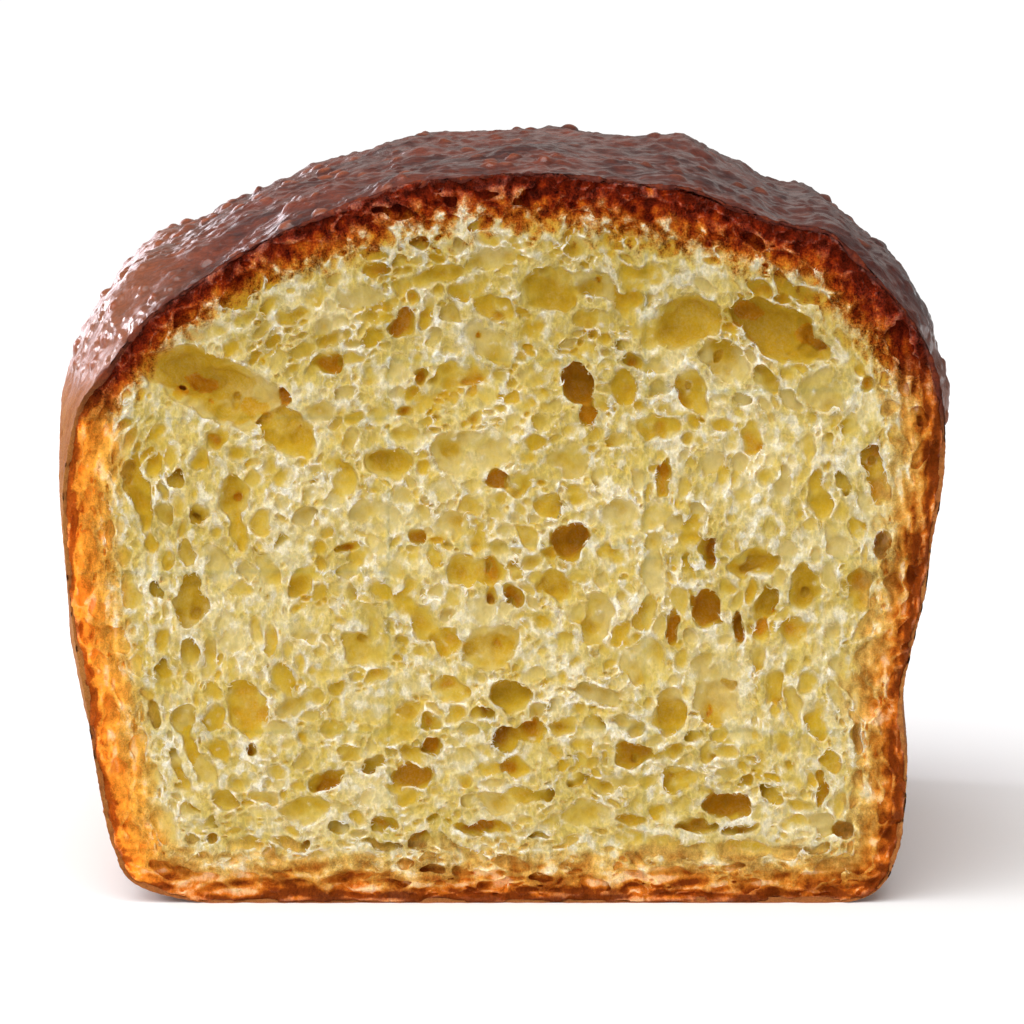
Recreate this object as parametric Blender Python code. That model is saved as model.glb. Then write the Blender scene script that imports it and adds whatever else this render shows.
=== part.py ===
"""Half of a tin-baked brioche loaf, cut across and standing on its flat base.

The cut crumb face looks along -Y, the crusted heel is at +Y and the domed crown at +Z. Metres.
The body is one closed loft: the section of the cut is carried back through a swelling, low lobes
of the crown and a rounded heel. The large air cells that the knife opened are then cut out of it.
"""

import math
import random

import bmesh
import bpy
import numpy as np
from mathutils import Matrix, Vector

MM = 0.001

# Driving dimensions, in millimetres
CUT_WIDTH = 116.0  # widest part of the cut section
CUT_HEIGHT = 96.0  # base to crown at the cut
HALF_LENGTH = 106.0  # cut face to the middle of the heel
TIN_LEAN = 4.0  # degrees that the heel leans out, as the tin's end wall does

# The section at the cut, from the left end of the flat base up the left side, over the crown and
# down the right side. x in half widths, z in heights.
SECTION = (
    (-0.680, 0.000), (-0.835, 0.025), (-0.882, 0.070), (-0.908, 0.130), (-0.946, 0.280),
    (-0.972, 0.380), (-0.990, 0.500), (-0.988, 0.590), (-0.955, 0.680), (-0.905, 0.722),
    (-0.800, 0.800), (-0.690, 0.848), (-0.580, 0.893), (-0.431, 0.936), (-0.320, 0.963),
    (-0.180, 0.988), (0.080, 0.998), (0.305, 0.982), (0.409, 0.976), (0.513, 0.950),
    (0.637, 0.927), (0.715, 0.918), (0.784, 0.882), (0.876, 0.822), (0.940, 0.760),
    (0.976, 0.680), (0.980, 0.590), (0.953, 0.490), (0.938, 0.420), (0.893, 0.290),
    (0.903, 0.190), (0.896, 0.110), (0.880, 0.060), (0.840, 0.018), (0.760, 0.000),
)  # fmt: skip
LEVEL_END = 0.15  # how far the curve through them runs on level at the base, in half widths
CORE_HEIGHT = 42.0  # height of the line that the heel closes round

# Growth behind the cut, where the loaf is full again after the valley that the knife went through:
# share of the way from the left end of the base over the crown to the right end, and growth in mm
GROWTH = (
    (0.00, 0.5), (0.08, 1.3), (0.18, 1.4), (0.225, 2.1), (0.25, 2.0), (0.28, 5.0), (0.31, 8.0),
    (0.34, 5.5), (0.38, 3.8), (0.44, 2.0), (0.50, 1.4), (0.58, 1.4), (0.64, 1.9), (0.69, 2.0),
    (0.73, 2.2), (0.76, 1.6), (0.80, 1.0), (0.92, 1.0), (1.00, 0.4),
)  # fmt: skip
GROWTH_RUN = 17.0
GROWTH_EASE = 0.8  # under 1, the growth starts more steeply at the cut

# Low lobes and one dip of the crown: middle x, distance behind the cut, height, spread in x, along
LOBES = (
    (-10.0, 60.0, 0.8, 34.0, 24.0),
    (26.0, 54.0, 2.2, 14.0, 20.0),
    (-12.0, 14.0, -0.8, 22.0, 14.0),
)

# Rounding of the heel: where each rounding starts before the end, and how square it is
HEEL_SIDES = (44.0, 4.6)
HEEL_CROWN = (58.0, 3.0)
HEEL_BASE = (9.0, 2.4)

# Unevenness of the crust: height of the broad and the narrow waves, and their lengths in x, y, z
# over a turn of 2 pi
BROAD_WAVES = (0.40, 6.1, 7.3, 9.0)
NARROW_WAVES = (0.18, 3.3, 4.1, 3.7)
WAVES_FULL_ABOVE = 8.0  # the waves fade towards the base
WAVES_FULL_BEHIND = 6.0  # and towards the cut

SIDE_POINTS = 64  # points of a ring up one side, over the crown and down the other
BASE_POINTS = 9  # points of a ring along the flat base, its ends left out
LAST_RING = 0.35  # distance from the last ring to the heel's middle

# The largest air cells that the cut opened: x, z, width, height, tilt in degrees, and depth as a
# share of the mean of width and height
CELLS = (
    (-38.0, 68.2, 20.3, 8.1, -5, 0.45), (-28.2, 60.9, 7.2, 6.0, 0, 0.60),
    (-35.8, 53.8, 3.7, 5.8, 12, 0.50), (-47.4, 54.0, 2.9, 9.4, 6, 0.55),
    (-8.3, 82.7, 9.8, 3.0, 15, 0.60), (5.6, 80.6, 8.6, 5.0, -8, 0.50),
    (22.9, 76.4, 10.2, 7.6, -10, 0.60), (35.0, 75.3, 15.0, 6.5, -25, 0.65),
    (29.7, 84.8, 6.6, 3.7, -15, 0.35), (39.3, 79.9, 4.2, 3.2, -30, 0.50),
    (42.2, 68.1, 5.6, 6.5, 0, 0.35), (-1.7, 74.0, 6.6, 5.0, 0, 0.30),
    (9.6, 68.6, 5.0, 6.8, -15, 0.90), (15.3, 67.6, 4.3, 5.5, 0, 0.60),
    (24.1, 67.5, 3.5, 6.3, 20, 0.60), (31.8, 61.3, 3.1, 5.8, 0, 0.60),
    (-15.2, 58.0, 6.3, 4.3, 0, 0.50), (-4.7, 58.8, 10.2, 6.3, 0, 0.25),
    (-17.4, 50.6, 6.0, 4.7, 0, 0.35), (-7.7, 50.0, 4.3, 4.5, 0, 0.50),
    (8.1, 47.8, 4.5, 4.7, 0, 0.90), (14.4, 51.2, 6.0, 5.3, 0, 0.40),
    (3.0, 48.3, 4.1, 3.5, 0, 0.60), (-5.6, 44.4, 4.7, 3.7, 0, 0.50),
    (6.7, 41.8, 5.4, 3.9, 0, 0.60), (-10.5, 36.8, 4.8, 4.8, 0, 0.50),
    (-2.2, 33.4, 6.3, 5.6, 0, 0.40), (0.5, 27.3, 6.9, 5.0, -10, 0.60),
    (11.8, 27.6, 6.3, 3.1, -20, 0.60), (17.7, 32.4, 6.0, 6.8, 0, 0.35),
    (21.9, 24.8, 5.0, 5.2, 0, 0.70), (16.9, 19.6, 5.0, 3.1, 0, 0.80),
    (22.7, 16.6, 5.5, 3.1, -10, 0.60), (28.4, 29.4, 8.1, 10.0, 0, 0.35),
    (25.6, 38.4, 4.2, 4.6, 0, 0.80), (35.9, 55.0, 2.4, 6.3, 5, 0.60),
    (40.9, 53.4, 2.6, 6.3, 5, 0.60), (43.6, 46.8, 3.1, 5.8, 10, 0.60),
    (38.8, 41.4, 3.9, 7.2, 5, 0.60), (42.8, 35.4, 2.2, 5.5, 0, 0.60),
    (32.0, 45.0, 6.3, 3.9, 0, 0.40), (29.8, 13.1, 5.0, 2.6, 0, 0.90),
    (41.7, 10.7, 4.1, 3.4, 0, 0.60), (-26.2, 50.7, 4.5, 2.6, 0, 0.60),
    (-16.8, 33.7, 5.9, 4.7, 0, 0.45), (-29.6, 29.5, 3.0, 4.5, 0, 0.60),
    (-41.9, 24.4, 3.3, 3.9, 0, 0.50), (-12.1, 17.0, 4.5, 2.6, 0, 0.70),
    (-2.7, 10.2, 8.1, 1.6, 0, 0.60), (24.5, 10.3, 5.8, 1.6, 0, 0.60),
)  # fmt: skip
FINE_CELL_ABOVE = 6.0  # a cell wider or higher than this gets a finer cutter
CELL_WAVE = 0.10  # unevenness of a cell's wall, as a share of its size
CELL_SKEW = 0.18
CELL_SEED = 7

CRUST_COLOUR = (0.33, 0.135, 0.055)
CRUMB_COLOUR = (0.60, 0.42, 0.125)
CUT_REACH = 0.05  # a face this close to the cut, in mm, is crumb
CELL_REACH = 8.0  # the walls of the cells end this far behind the cut, in mm
CELL_WALL_LEVEL = -0.2  # and look forward by this much at least
SHARP_ANGLE = 40.0


def remove_all_objects():
    for obj in list(bpy.data.objects):
        bpy.data.objects.remove(obj)


def curve_through(points, samples_each=24):
    """A dense Catmull-Rom curve through the points, with level ends on the base."""
    pts = np.array(points, float)
    inward = np.array([LEVEL_END, 0.0])
    knots = np.vstack([pts[0] + inward, pts, pts[-1] - inward])
    t = np.linspace(0.0, 1.0, samples_each, endpoint=False)[:, None]
    spans = []
    for a, b, c, d in zip(knots, knots[1:], knots[2:], knots[3:]):
        bend = (2 * a - 5 * b + 4 * c - d) * t**2 + (3 * b - a - 3 * c + d) * t**3
        spans.append(0.5 * (2 * b + (c - a) * t + bend))
    return np.vstack([*spans, pts[-1:]])


def evenly(curve, count):
    """The curve's points taken again at equal steps of its length."""
    steps = np.hypot(*np.diff(curve, axis=0).T)
    run = np.concatenate([[0.0], np.cumsum(steps)])
    at = np.linspace(0.0, run[-1], count)
    return np.column_stack([np.interp(at, run, curve[:, k]) for k in range(curve.shape[1])])


def cut_section():
    """The closed ring of the cut section in mm, clockwise from the front, and its outward normals."""
    scale = np.array([CUT_WIDTH / 2, CUT_HEIGHT])
    side = evenly(curve_through(SECTION) * scale, SIDE_POINTS)
    side[:, 1] = np.maximum(side[:, 1], 0.0)
    side[[0, -1], 1] = 0.0
    base_x = np.linspace(side[-1, 0], side[0, 0], BASE_POINTS + 2)[1:-1]
    ring = np.vstack([side, np.column_stack([base_x, np.zeros(BASE_POINTS)])])
    along = np.roll(ring, -1, axis=0) - np.roll(ring, 1, axis=0)
    normal = np.column_stack([-along[:, 1], along[:, 0]])
    return ring, normal / np.linalg.norm(normal, axis=1)[:, None]


def smooth(t):
    t = np.clip(t, 0.0, 1.0)
    return t * t * (3.0 - 2.0 * t)


def squareness(distance_left, rounding):
    """How much of its size a section keeps at this distance before the end, by a superellipse."""
    start, power = rounding
    into = max(0.0, 1.0 - distance_left / start)
    return (1.0 - into**power) ** (1.0 / power)


def lumps(x, y, z):
    """Low unevenness of the crust, in mm."""
    broad, across, along, up = BROAD_WAVES
    rolling = broad * np.sin(x / across + 1.0) * np.sin(y / along + z / up)
    narrow, across, along, up = NARROW_WAVES
    return rolling + narrow * np.sin(x / across - y / along + z / up)


def growth_round(ring):
    """Full growth in mm at each point of the ring, none along the flat base."""
    share, growth = np.array(GROWTH).T
    side = np.interp(np.linspace(0.0, 1.0, SIDE_POINTS), share, growth)
    eased = np.convolve(np.pad(side, 1, mode="edge"), np.ones(3) / 3.0, mode="valid")
    return np.concatenate([eased, np.zeros(len(ring) - SIDE_POINTS)])


def section_behind(ring, normal, y):
    """The ring at distance y behind the cut, as x, y, z in mm."""
    x, z = ring[:, 0].copy(), ring[:, 1].copy()
    upward = np.maximum(normal[:, 1], 0.0)
    grown = growth_round(ring) * smooth(y / GROWTH_RUN) ** GROWTH_EASE
    x += grown * normal[:, 0]
    z += grown * upward
    for middle, behind, height, spread_x, spread_y in LOBES:
        lobe = np.exp(-(((ring[:, 0] - middle) / spread_x) ** 2) - ((y - behind) / spread_y) ** 2)
        z += height * lobe * upward
    clear = smooth(ring[:, 1] / WAVES_FULL_ABOVE) * smooth(y / WAVES_FULL_BEHIND)
    swelling = lumps(x, y, z) * clear
    x += swelling * normal[:, 0]
    z += swelling * upward

    left = HALF_LENGTH - y
    above = z > CORE_HEIGHT
    x *= squareness(left, HEEL_SIDES)
    z = CORE_HEIGHT + (z - CORE_HEIGHT) * np.where(
        above, squareness(left, HEEL_CROWN), squareness(left, HEEL_BASE)
    )
    lean = math.tan(math.radians(TIN_LEAN)) * (z - CORE_HEIGHT) * smooth(y / HALF_LENGTH) ** 2
    return np.column_stack([x, y + lean, z])


def stations():
    """Distances of the rings behind the cut: close at the cut's edge and at the heel."""
    front = [0.0, 1.2, 2.8, 5.0, 8.0, 11.5, 15.5]
    middle = list(np.arange(20.5, 78.0, 5.2))
    from_end = (23.0, 18.0, 13.6, 10.0, 7.0, 4.6, 2.8, 1.6, 0.8, LAST_RING)
    return front + middle + [HALF_LENGTH - step for step in from_end]


def loaf_body():
    """The closed body, before its cells are cut."""
    ring, normal = cut_section()
    count = len(ring)
    bm = bmesh.new()
    rings = []
    for y in stations():
        rings.append([bm.verts.new(point * MM) for point in section_behind(ring, normal, y)])
    for near, far in zip(rings, rings[1:]):
        for i in range(count):
            j = (i + 1) % count
            bm.faces.new((near[i], near[j], far[j], far[i]))
    bm.faces.new(reversed(rings[0]))
    pole = bm.verts.new(Vector((0.0, HALF_LENGTH, CORE_HEIGHT)) * MM)
    for i in range(count):
        bm.faces.new((rings[-1][i], rings[-1][(i + 1) % count], pole))
    bmesh.ops.recalc_face_normals(bm, faces=bm.faces)
    mesh = bpy.data.meshes.new("brioche")
    bm.to_mesh(mesh)
    bm.free()
    obj = bpy.data.objects.new("brioche", mesh)
    bpy.context.scene.collection.objects.link(obj)
    return obj


def cell_cutters():
    """One uneven ellipsoid for each air cell, its middle on the cut."""
    rng = random.Random(CELL_SEED)
    collection = bpy.data.collections.new("cells")
    bpy.context.scene.collection.children.link(collection)
    for number, (x, z, width, height, tilt, depth) in enumerate(CELLS):
        bm = bmesh.new()
        fine = max(width, height) > FINE_CELL_ABOVE
        bmesh.ops.create_icosphere(bm, subdivisions=3 if fine else 2, radius=1.0)
        turn = Matrix.Rotation(rng.uniform(0, math.tau), 4, "Y")
        bmesh.ops.transform(bm, matrix=turn, verts=bm.verts)
        skew = rng.uniform(-CELL_SKEW, CELL_SKEW)
        for vert in bm.verts:
            wave = math.sin(3.0 * vert.co.x + number) * math.cos(2.0 * vert.co.z + number)
            vert.co *= 1.0 + CELL_WAVE * wave
            vert.co.z += skew * vert.co.x**2
        size = Vector((width / 2, depth * (width + height) / 2, height / 2))
        place = Matrix.Translation(Vector((x, 0.0, z)) * MM)
        place @= Matrix.Rotation(-math.radians(tilt), 4, "Y")
        place @= Matrix.Diagonal((size * MM).to_4d())
        bmesh.ops.transform(bm, matrix=place, verts=bm.verts)
        mesh = bpy.data.meshes.new("cell")
        bm.to_mesh(mesh)
        bm.free()
        collection.objects.link(bpy.data.objects.new(f"cell_{number}", mesh))
    return collection


def open_the_cells(loaf):
    collection = cell_cutters()
    cut = loaf.modifiers.new("cells", "BOOLEAN")
    cut.operation = "DIFFERENCE"
    cut.solver = "EXACT"
    cut.operand_type = "COLLECTION"
    cut.collection = collection
    evaluated = loaf.evaluated_get(bpy.context.evaluated_depsgraph_get())
    mesh = bpy.data.meshes.new_from_object(evaluated)
    loaf.modifiers.remove(cut)
    loaf.data = mesh
    for cutter in list(collection.objects):
        bpy.data.objects.remove(cutter)
    bpy.data.collections.remove(collection)


def centre_on_base(loaf):
    """Moves the mesh so that its base's middle is the origin."""
    points = np.array([vert.co for vert in loaf.data.vertices])
    low, high = points.min(axis=0), points.max(axis=0)
    middle = Vector((*(low + high)[:2] / 2, low[2]))
    loaf.data.transform(Matrix.Translation(-middle))
    return float(low[1] - middle.y)


def material(name, colour, roughness):
    made = bpy.data.materials.new(name)
    made.use_nodes = True
    shader = made.node_tree.nodes["Principled BSDF"]
    shader.inputs["Base Color"].default_value = (*colour, 1.0)
    shader.inputs["Roughness"].default_value = roughness
    shader.inputs["Metallic"].default_value = 0.0
    return made


def dress(loaf, cut_y):
    """Crust outside, crumb on the cut and in its cells."""
    mesh = loaf.data
    mesh.materials.clear()
    mesh.materials.append(material("crust", CRUST_COLOUR, 0.35))
    mesh.materials.append(material("crumb", CRUMB_COLOUR, 0.85))
    for face in mesh.polygons:
        behind = (face.center.y - cut_y) / MM
        in_cell = behind < CELL_REACH and face.normal.y < CELL_WALL_LEVEL
        face.material_index = 1 if behind < CUT_REACH or in_cell else 0
    mesh.shade_smooth()
    mesh.set_sharp_from_angle(angle=math.radians(SHARP_ANGLE))


def main():
    remove_all_objects()
    loaf = loaf_body()
    open_the_cells(loaf)
    cut_y = centre_on_base(loaf)
    dress(loaf, cut_y)


main()
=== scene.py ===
"""Looks of the half brioche loaf: open crumb on the cut, glossy crown, golden sides, and the studio.

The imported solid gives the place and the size. The body's form is worked out in section
millimetres (x across, y behind the cut, z above the base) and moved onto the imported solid.
The crumb is a foam: air cells are opened in a volume behind the cut, and the surface that is
left becomes the mesh. The crust is one fine skin over the body, with its own relief.
"""

from __future__ import annotations

import logging
import math
from dataclasses import asdict, dataclass, field, fields
from enum import Enum
from typing import Any, ClassVar

import bpy
import numpy as np
from mathutils import Euler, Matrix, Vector


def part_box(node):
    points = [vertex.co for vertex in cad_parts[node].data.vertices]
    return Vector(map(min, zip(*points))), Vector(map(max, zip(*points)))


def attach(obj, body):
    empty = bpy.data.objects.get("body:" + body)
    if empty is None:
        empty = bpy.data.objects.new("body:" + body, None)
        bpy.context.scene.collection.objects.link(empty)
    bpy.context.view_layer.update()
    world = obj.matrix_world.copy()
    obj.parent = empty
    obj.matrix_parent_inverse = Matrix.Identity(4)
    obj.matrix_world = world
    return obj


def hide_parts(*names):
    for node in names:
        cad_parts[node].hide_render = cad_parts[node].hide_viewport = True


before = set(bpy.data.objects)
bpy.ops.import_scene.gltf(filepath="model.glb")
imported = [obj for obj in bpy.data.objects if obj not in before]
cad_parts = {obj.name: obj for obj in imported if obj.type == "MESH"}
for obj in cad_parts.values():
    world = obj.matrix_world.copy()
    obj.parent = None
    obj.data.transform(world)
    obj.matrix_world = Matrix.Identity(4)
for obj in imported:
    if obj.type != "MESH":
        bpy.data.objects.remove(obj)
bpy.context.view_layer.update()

LOG = logging.getLogger("brioche")
MM = 0.001
NODE = "brioche"
BODY = "root"
OWN_UV = "OFBake"
# the crumb's own map: the cut seen from the front, this wide, with the loaf's foot at MAP_START
MAP_WIDTH = 121.0
MAP_START = (0.5, 0.1)
ANY_SHADE = (-1.0, 1.0)
# the corners of a cell of the foam's volume, as steps from its first
CORNERS = [(a, b, c) for a in (0, 1) for b in (0, 1) for c in (0, 1)]
# shares of the side curve where the crown and the left side begin and end, each with its fade
CROWN_FROM, CROWN_TO, CROWN_FADE = 0.25, 0.755, 0.035
LEFT_FROM, LEFT_FADE_IN, LEFT_TO, LEFT_FADE_OUT = 0.015, 0.03, 0.36, 0.04

Array = np.ndarray
Pair = tuple[float, float]
Triple = tuple[float, float, float]


# ---------------------------------------------------------------------------------------------
# Number helpers
# ---------------------------------------------------------------------------------------------


def smooth(t: Array | float) -> Array | float:
    """Eases 0..1 with level ends."""
    t = np.clip(t, 0.0, 1.0)
    return t * t * (3.0 - 2.0 * t)


def spline_weights(at: Array, cell: float, count: int) -> Array:
    """Weights of a cubic B-spline lattice.

    Args:
        at: Places along one axis, in the lattice's own length, from 0.
        cell: Spacing of the lattice.
        count: Number of lattice points.

    Returns:
        A matrix of one row for each place and one column for each lattice point.
    """
    t = at / cell + 1.0
    base = np.clip(np.floor(t).astype(int), 1, count - 3)
    f = t - base
    table = np.zeros((len(at), count), np.float32)
    rows = np.arange(len(at))
    table[rows, base - 1] = (1 - f) ** 3 / 6
    table[rows, base] = (3 * f**3 - 6 * f**2 + 4) / 6
    table[rows, base + 1] = (-3 * f**3 + 3 * f**2 + 3 * f + 1) / 6
    table[rows, base + 2] = f**3 / 6
    return table


def lattice_noise(axes: list[Array], cell: float | tuple[float, ...], rng: np.random.Generator) -> Array:
    """Smooth noise of about unit spread on a grid.

    Args:
        axes: The grid's places along each axis, in millimetres.
        cell: Size of a lump of the noise, for all axes or for each.
        rng: Source of the random lattice.

    Returns:
        A float32 array with the grid's shape.
    """
    cells = (cell,) * len(axes) if isinstance(cell, (int, float)) else cell
    counts = [int(math.ceil((a[-1] - a[0]) / c)) + 4 for a, c in zip(axes, cells)]
    values = rng.standard_normal(counts).astype(np.float32)
    for axis, c, count in zip(axes, cells, counts):
        weights = spline_weights(axis - axis[0], c, count)
        values = np.tensordot(values, weights, axes=([0], [1]))
    return values / values.std()


def box_blur(values: Array, reach: int) -> Array:
    """Mean over a cube of 2 * reach + 1 cells, edges repeated.

    Args:
        values: A 3-D array.
        reach: Cells taken on each side.

    Returns:
        The blurred array, float32.
    """
    out = values.astype(np.float32)
    for axis in range(3):
        pad = [(0, 0)] * 3
        pad[axis] = (reach + 1, reach)
        run = np.cumsum(np.pad(out, pad, mode="edge"), axis=axis, dtype=np.float32)
        size = out.shape[axis]
        high = np.take(run, range(2 * reach + 1, 2 * reach + 1 + size), axis=axis)
        low = np.take(run, range(0, size), axis=axis)
        out = (high - low) / (2 * reach + 1)
    return out


def blended(first: Array, second: Array, width: float | Array) -> Array:
    """The smaller of two distances, with the edge where they meet rounded over a width."""
    near = np.maximum(width - np.abs(first - second), 0.0) / width
    return np.minimum(first, second) - 0.25 * width * near * near


def waved(at: Array, waves: tuple[Triple, ...]) -> Array:
    """The sum of some sine waves at these places, each given by its height, length and turn."""
    return sum(height * np.sin(at / length + turn) for height, length, turn in waves)


def sample(volume: Array, places: Array) -> Array:
    """Trilinear samples of a volume.

    Args:
        volume: A 3-D array.
        places: Points in index units, one row each.

    Returns:
        One value for each point.
    """
    top = np.array(volume.shape) - 2
    base = np.clip(np.floor(places).astype(int), 0, top)
    f = np.clip(places - base, 0.0, 1.0)
    total = np.zeros(len(places))
    for dx in (0, 1):
        for dy in (0, 1):
            for dz in (0, 1):
                weight = np.abs(1 - dx - f[:, 0]) * np.abs(1 - dy - f[:, 1]) * np.abs(1 - dz - f[:, 2])
                total += weight * volume[base[:, 0] + dx, base[:, 1] + dy, base[:, 2] + dz]
    return total


def point_normals(points: Array, quads: Array) -> Array:
    """Area-weighted normals of points.

    Args:
        points: The points.
        quads: Their faces, whose fourth point is -1 in a triangle.

    Returns:
        A unit normal for each point.
    """
    corners = np.where(quads < 0, quads[:, 2:3], quads)
    cross = np.cross(
        points[corners[:, 2]] - points[corners[:, 0]], points[corners[:, 3]] - points[corners[:, 1]]
    )
    total = np.zeros((len(points), 3))
    for k in range(3):
        for corner in range(4):
            total[:, k] += np.bincount(corners[:, corner], weights=cross[:, k], minlength=len(points))
    length = np.linalg.norm(total, axis=1)
    length[length == 0] = 1.0
    return total / length[:, None]


def renumbered(quads: Array, count: int) -> tuple[Array, Array]:
    """The points that some faces use, and the faces with the numbers of those points alone.

    Args:
        quads: The faces, whose fourth point is -1 in a triangle.
        count: How many points there are.

    Returns:
        True for each point that is used, and the faces.
    """
    used = np.zeros(count, bool)
    used[quads[quads >= 0]] = True
    number = np.cumsum(used) - 1
    return used, np.where(quads < 0, -1, number[quads])


# ---------------------------------------------------------------------------------------------
# The body's form
# ---------------------------------------------------------------------------------------------


@dataclass
class Ring:
    """One closed ring of the section: points, outward normals, growth and share of the side curve."""

    points: Array
    normals: Array
    growth: Array
    share: Array


@dataclass
class LoafForm:
    """The loaf's body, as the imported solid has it, but as fine as asked."""

    cut_width: float = 116.0
    cut_height: float = 96.0
    half_length: float = 106.0
    tin_lean: float = 4.0
    core_height: float = 42.0
    level_end: float = 0.15
    growth_run: float = 17.0
    growth_ease: float = 0.8
    heel_sides: Pair = (44.0, 4.6)
    heel_crown: Pair = (58.0, 3.0)
    heel_base: Pair = (9.0, 2.4)
    broad_waves: tuple[float, ...] = (0.40, 6.1, 7.3, 9.0)
    narrow_waves: tuple[float, ...] = (0.18, 3.3, 4.1, 3.7)
    waves_full_above: float = 8.0
    waves_full_behind: float = 6.0
    solid_side_points: int = 64
    section: tuple[Pair, ...] = (
        (-0.680, 0.000), (-0.835, 0.025), (-0.882, 0.070), (-0.908, 0.130), (-0.946, 0.280),
        (-0.972, 0.380), (-0.990, 0.500), (-0.988, 0.590), (-0.955, 0.680), (-0.905, 0.722),
        (-0.800, 0.800), (-0.690, 0.848), (-0.580, 0.893), (-0.431, 0.936), (-0.320, 0.963),
        (-0.180, 0.988), (0.080, 0.998), (0.305, 0.982), (0.409, 0.976), (0.513, 0.950),
        (0.637, 0.927), (0.715, 0.918), (0.784, 0.882), (0.876, 0.822), (0.940, 0.760),
        (0.976, 0.680), (0.980, 0.590), (0.953, 0.490), (0.938, 0.420), (0.893, 0.290),
        (0.903, 0.190), (0.896, 0.110), (0.880, 0.060), (0.840, 0.018), (0.760, 0.000),
    )  # fmt: skip
    growth: tuple[Pair, ...] = (
        (0.00, 0.5), (0.08, 1.3), (0.18, 1.4), (0.225, 2.1), (0.25, 2.0), (0.28, 5.0), (0.31, 8.0),
        (0.34, 5.5), (0.38, 3.8), (0.44, 2.0), (0.50, 1.4), (0.58, 1.4), (0.64, 1.9), (0.69, 2.0),
        (0.73, 2.2), (0.76, 1.6), (0.80, 1.0), (0.92, 1.0), (1.00, 0.4),
    )  # fmt: skip
    lobes: tuple[tuple[float, ...], ...] = (
        (-10.0, 60.0, 0.8, 34.0, 24.0),
        (26.0, 54.0, 2.2, 14.0, 20.0),
        (-12.0, 14.0, -0.8, 22.0, 14.0),
    )
    shift: Array = field(default_factory=lambda: np.zeros(3))

    def side_curve(self, samples_each: int = 24) -> Array:
        """The section from the left end of the base over the crown to the right end.

        Args:
            samples_each: Points taken between two points of the section.

        Returns:
            A dense curve in millimetres.
        """
        pts = np.array(self.section)
        inward = np.array([self.level_end, 0.0])
        knots = np.vstack([pts[0] + inward, pts, pts[-1] - inward])
        t = np.linspace(0.0, 1.0, samples_each, endpoint=False)[:, None]
        spans = []
        for a, b, c, d in zip(knots, knots[1:], knots[2:], knots[3:]):
            bend = (2 * a - 5 * b + 4 * c - d) * t**2 + (3 * b - a - 3 * c + d) * t**3
            spans.append(0.5 * (2 * b + (c - a) * t + bend))
        curve = np.vstack([*spans, pts[-1:]]) * [self.cut_width / 2, self.cut_height]
        curve[:, 1] = np.maximum(curve[:, 1], 0.0)
        return curve

    def ring(self, side_points: int, base_points: int) -> Ring:
        """The closed ring of the cut.

        Args:
            side_points: Points up one side, over the crown and down the other.
            base_points: Points along the flat base.

        Returns:
            The ring, clockwise from the front.
        """
        curve = self.side_curve()
        steps = np.hypot(*np.diff(curve, axis=0).T)
        run = np.concatenate([[0.0], np.cumsum(steps)])
        share = np.linspace(0.0, 1.0, side_points)
        side = np.column_stack([np.interp(share * run[-1], run, curve[:, k]) for k in (0, 1)])
        side[[0, -1], 1] = 0.0
        base_x = np.linspace(side[-1, 0], side[0, 0], base_points + 2)[1:-1]
        points = np.vstack([side, np.column_stack([base_x, np.zeros(base_points)])])
        reach = max(1, side_points // self.solid_side_points)
        along = np.roll(points, -reach, axis=0) - np.roll(points, reach, axis=0)
        normals = np.column_stack([-along[:, 1], along[:, 0]])
        normals /= np.linalg.norm(normals, axis=1)[:, None]
        knots = np.linspace(0.0, 1.0, self.solid_side_points)
        known = np.interp(knots, *np.array(self.growth).T)
        eased = np.convolve(np.pad(known, 1, mode="edge"), np.ones(3) / 3.0, mode="valid")
        grown = np.concatenate([np.interp(share, knots, eased), np.zeros(base_points)])
        return Ring(points, normals, grown, np.concatenate([share, np.full(base_points, -1.0)]))

    def growing(self, y: Array) -> Array:
        """Share of the growth that is reached at a distance behind the cut."""
        return smooth(y / self.growth_run) ** self.growth_ease

    @staticmethod
    def kept(distance_left: Array, rounding: Pair) -> Array:
        """Share of its size that a section keeps at this distance before the end.

        Args:
            distance_left: Distance to the heel's middle, in millimetres.
            rounding: Where the rounding starts, and the superellipse's power.

        Returns:
            The shares, from 0 to 1.
        """
        start, power = rounding
        into = np.clip(1.0 - distance_left / start, 0.0, 1.0)
        return (1.0 - into**power) ** (1.0 / power)

    def waves(self, x: Array, y: Array, z: Array) -> Array:
        """Low unevenness of the crust, in millimetres."""
        broad, across, along, up = self.broad_waves
        rolling = broad * np.sin(x / across + 1.0) * np.sin(y / along + z / up)
        narrow, across, along, up = self.narrow_waves
        return rolling + narrow * np.sin(x / across - y / along + z / up)

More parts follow.
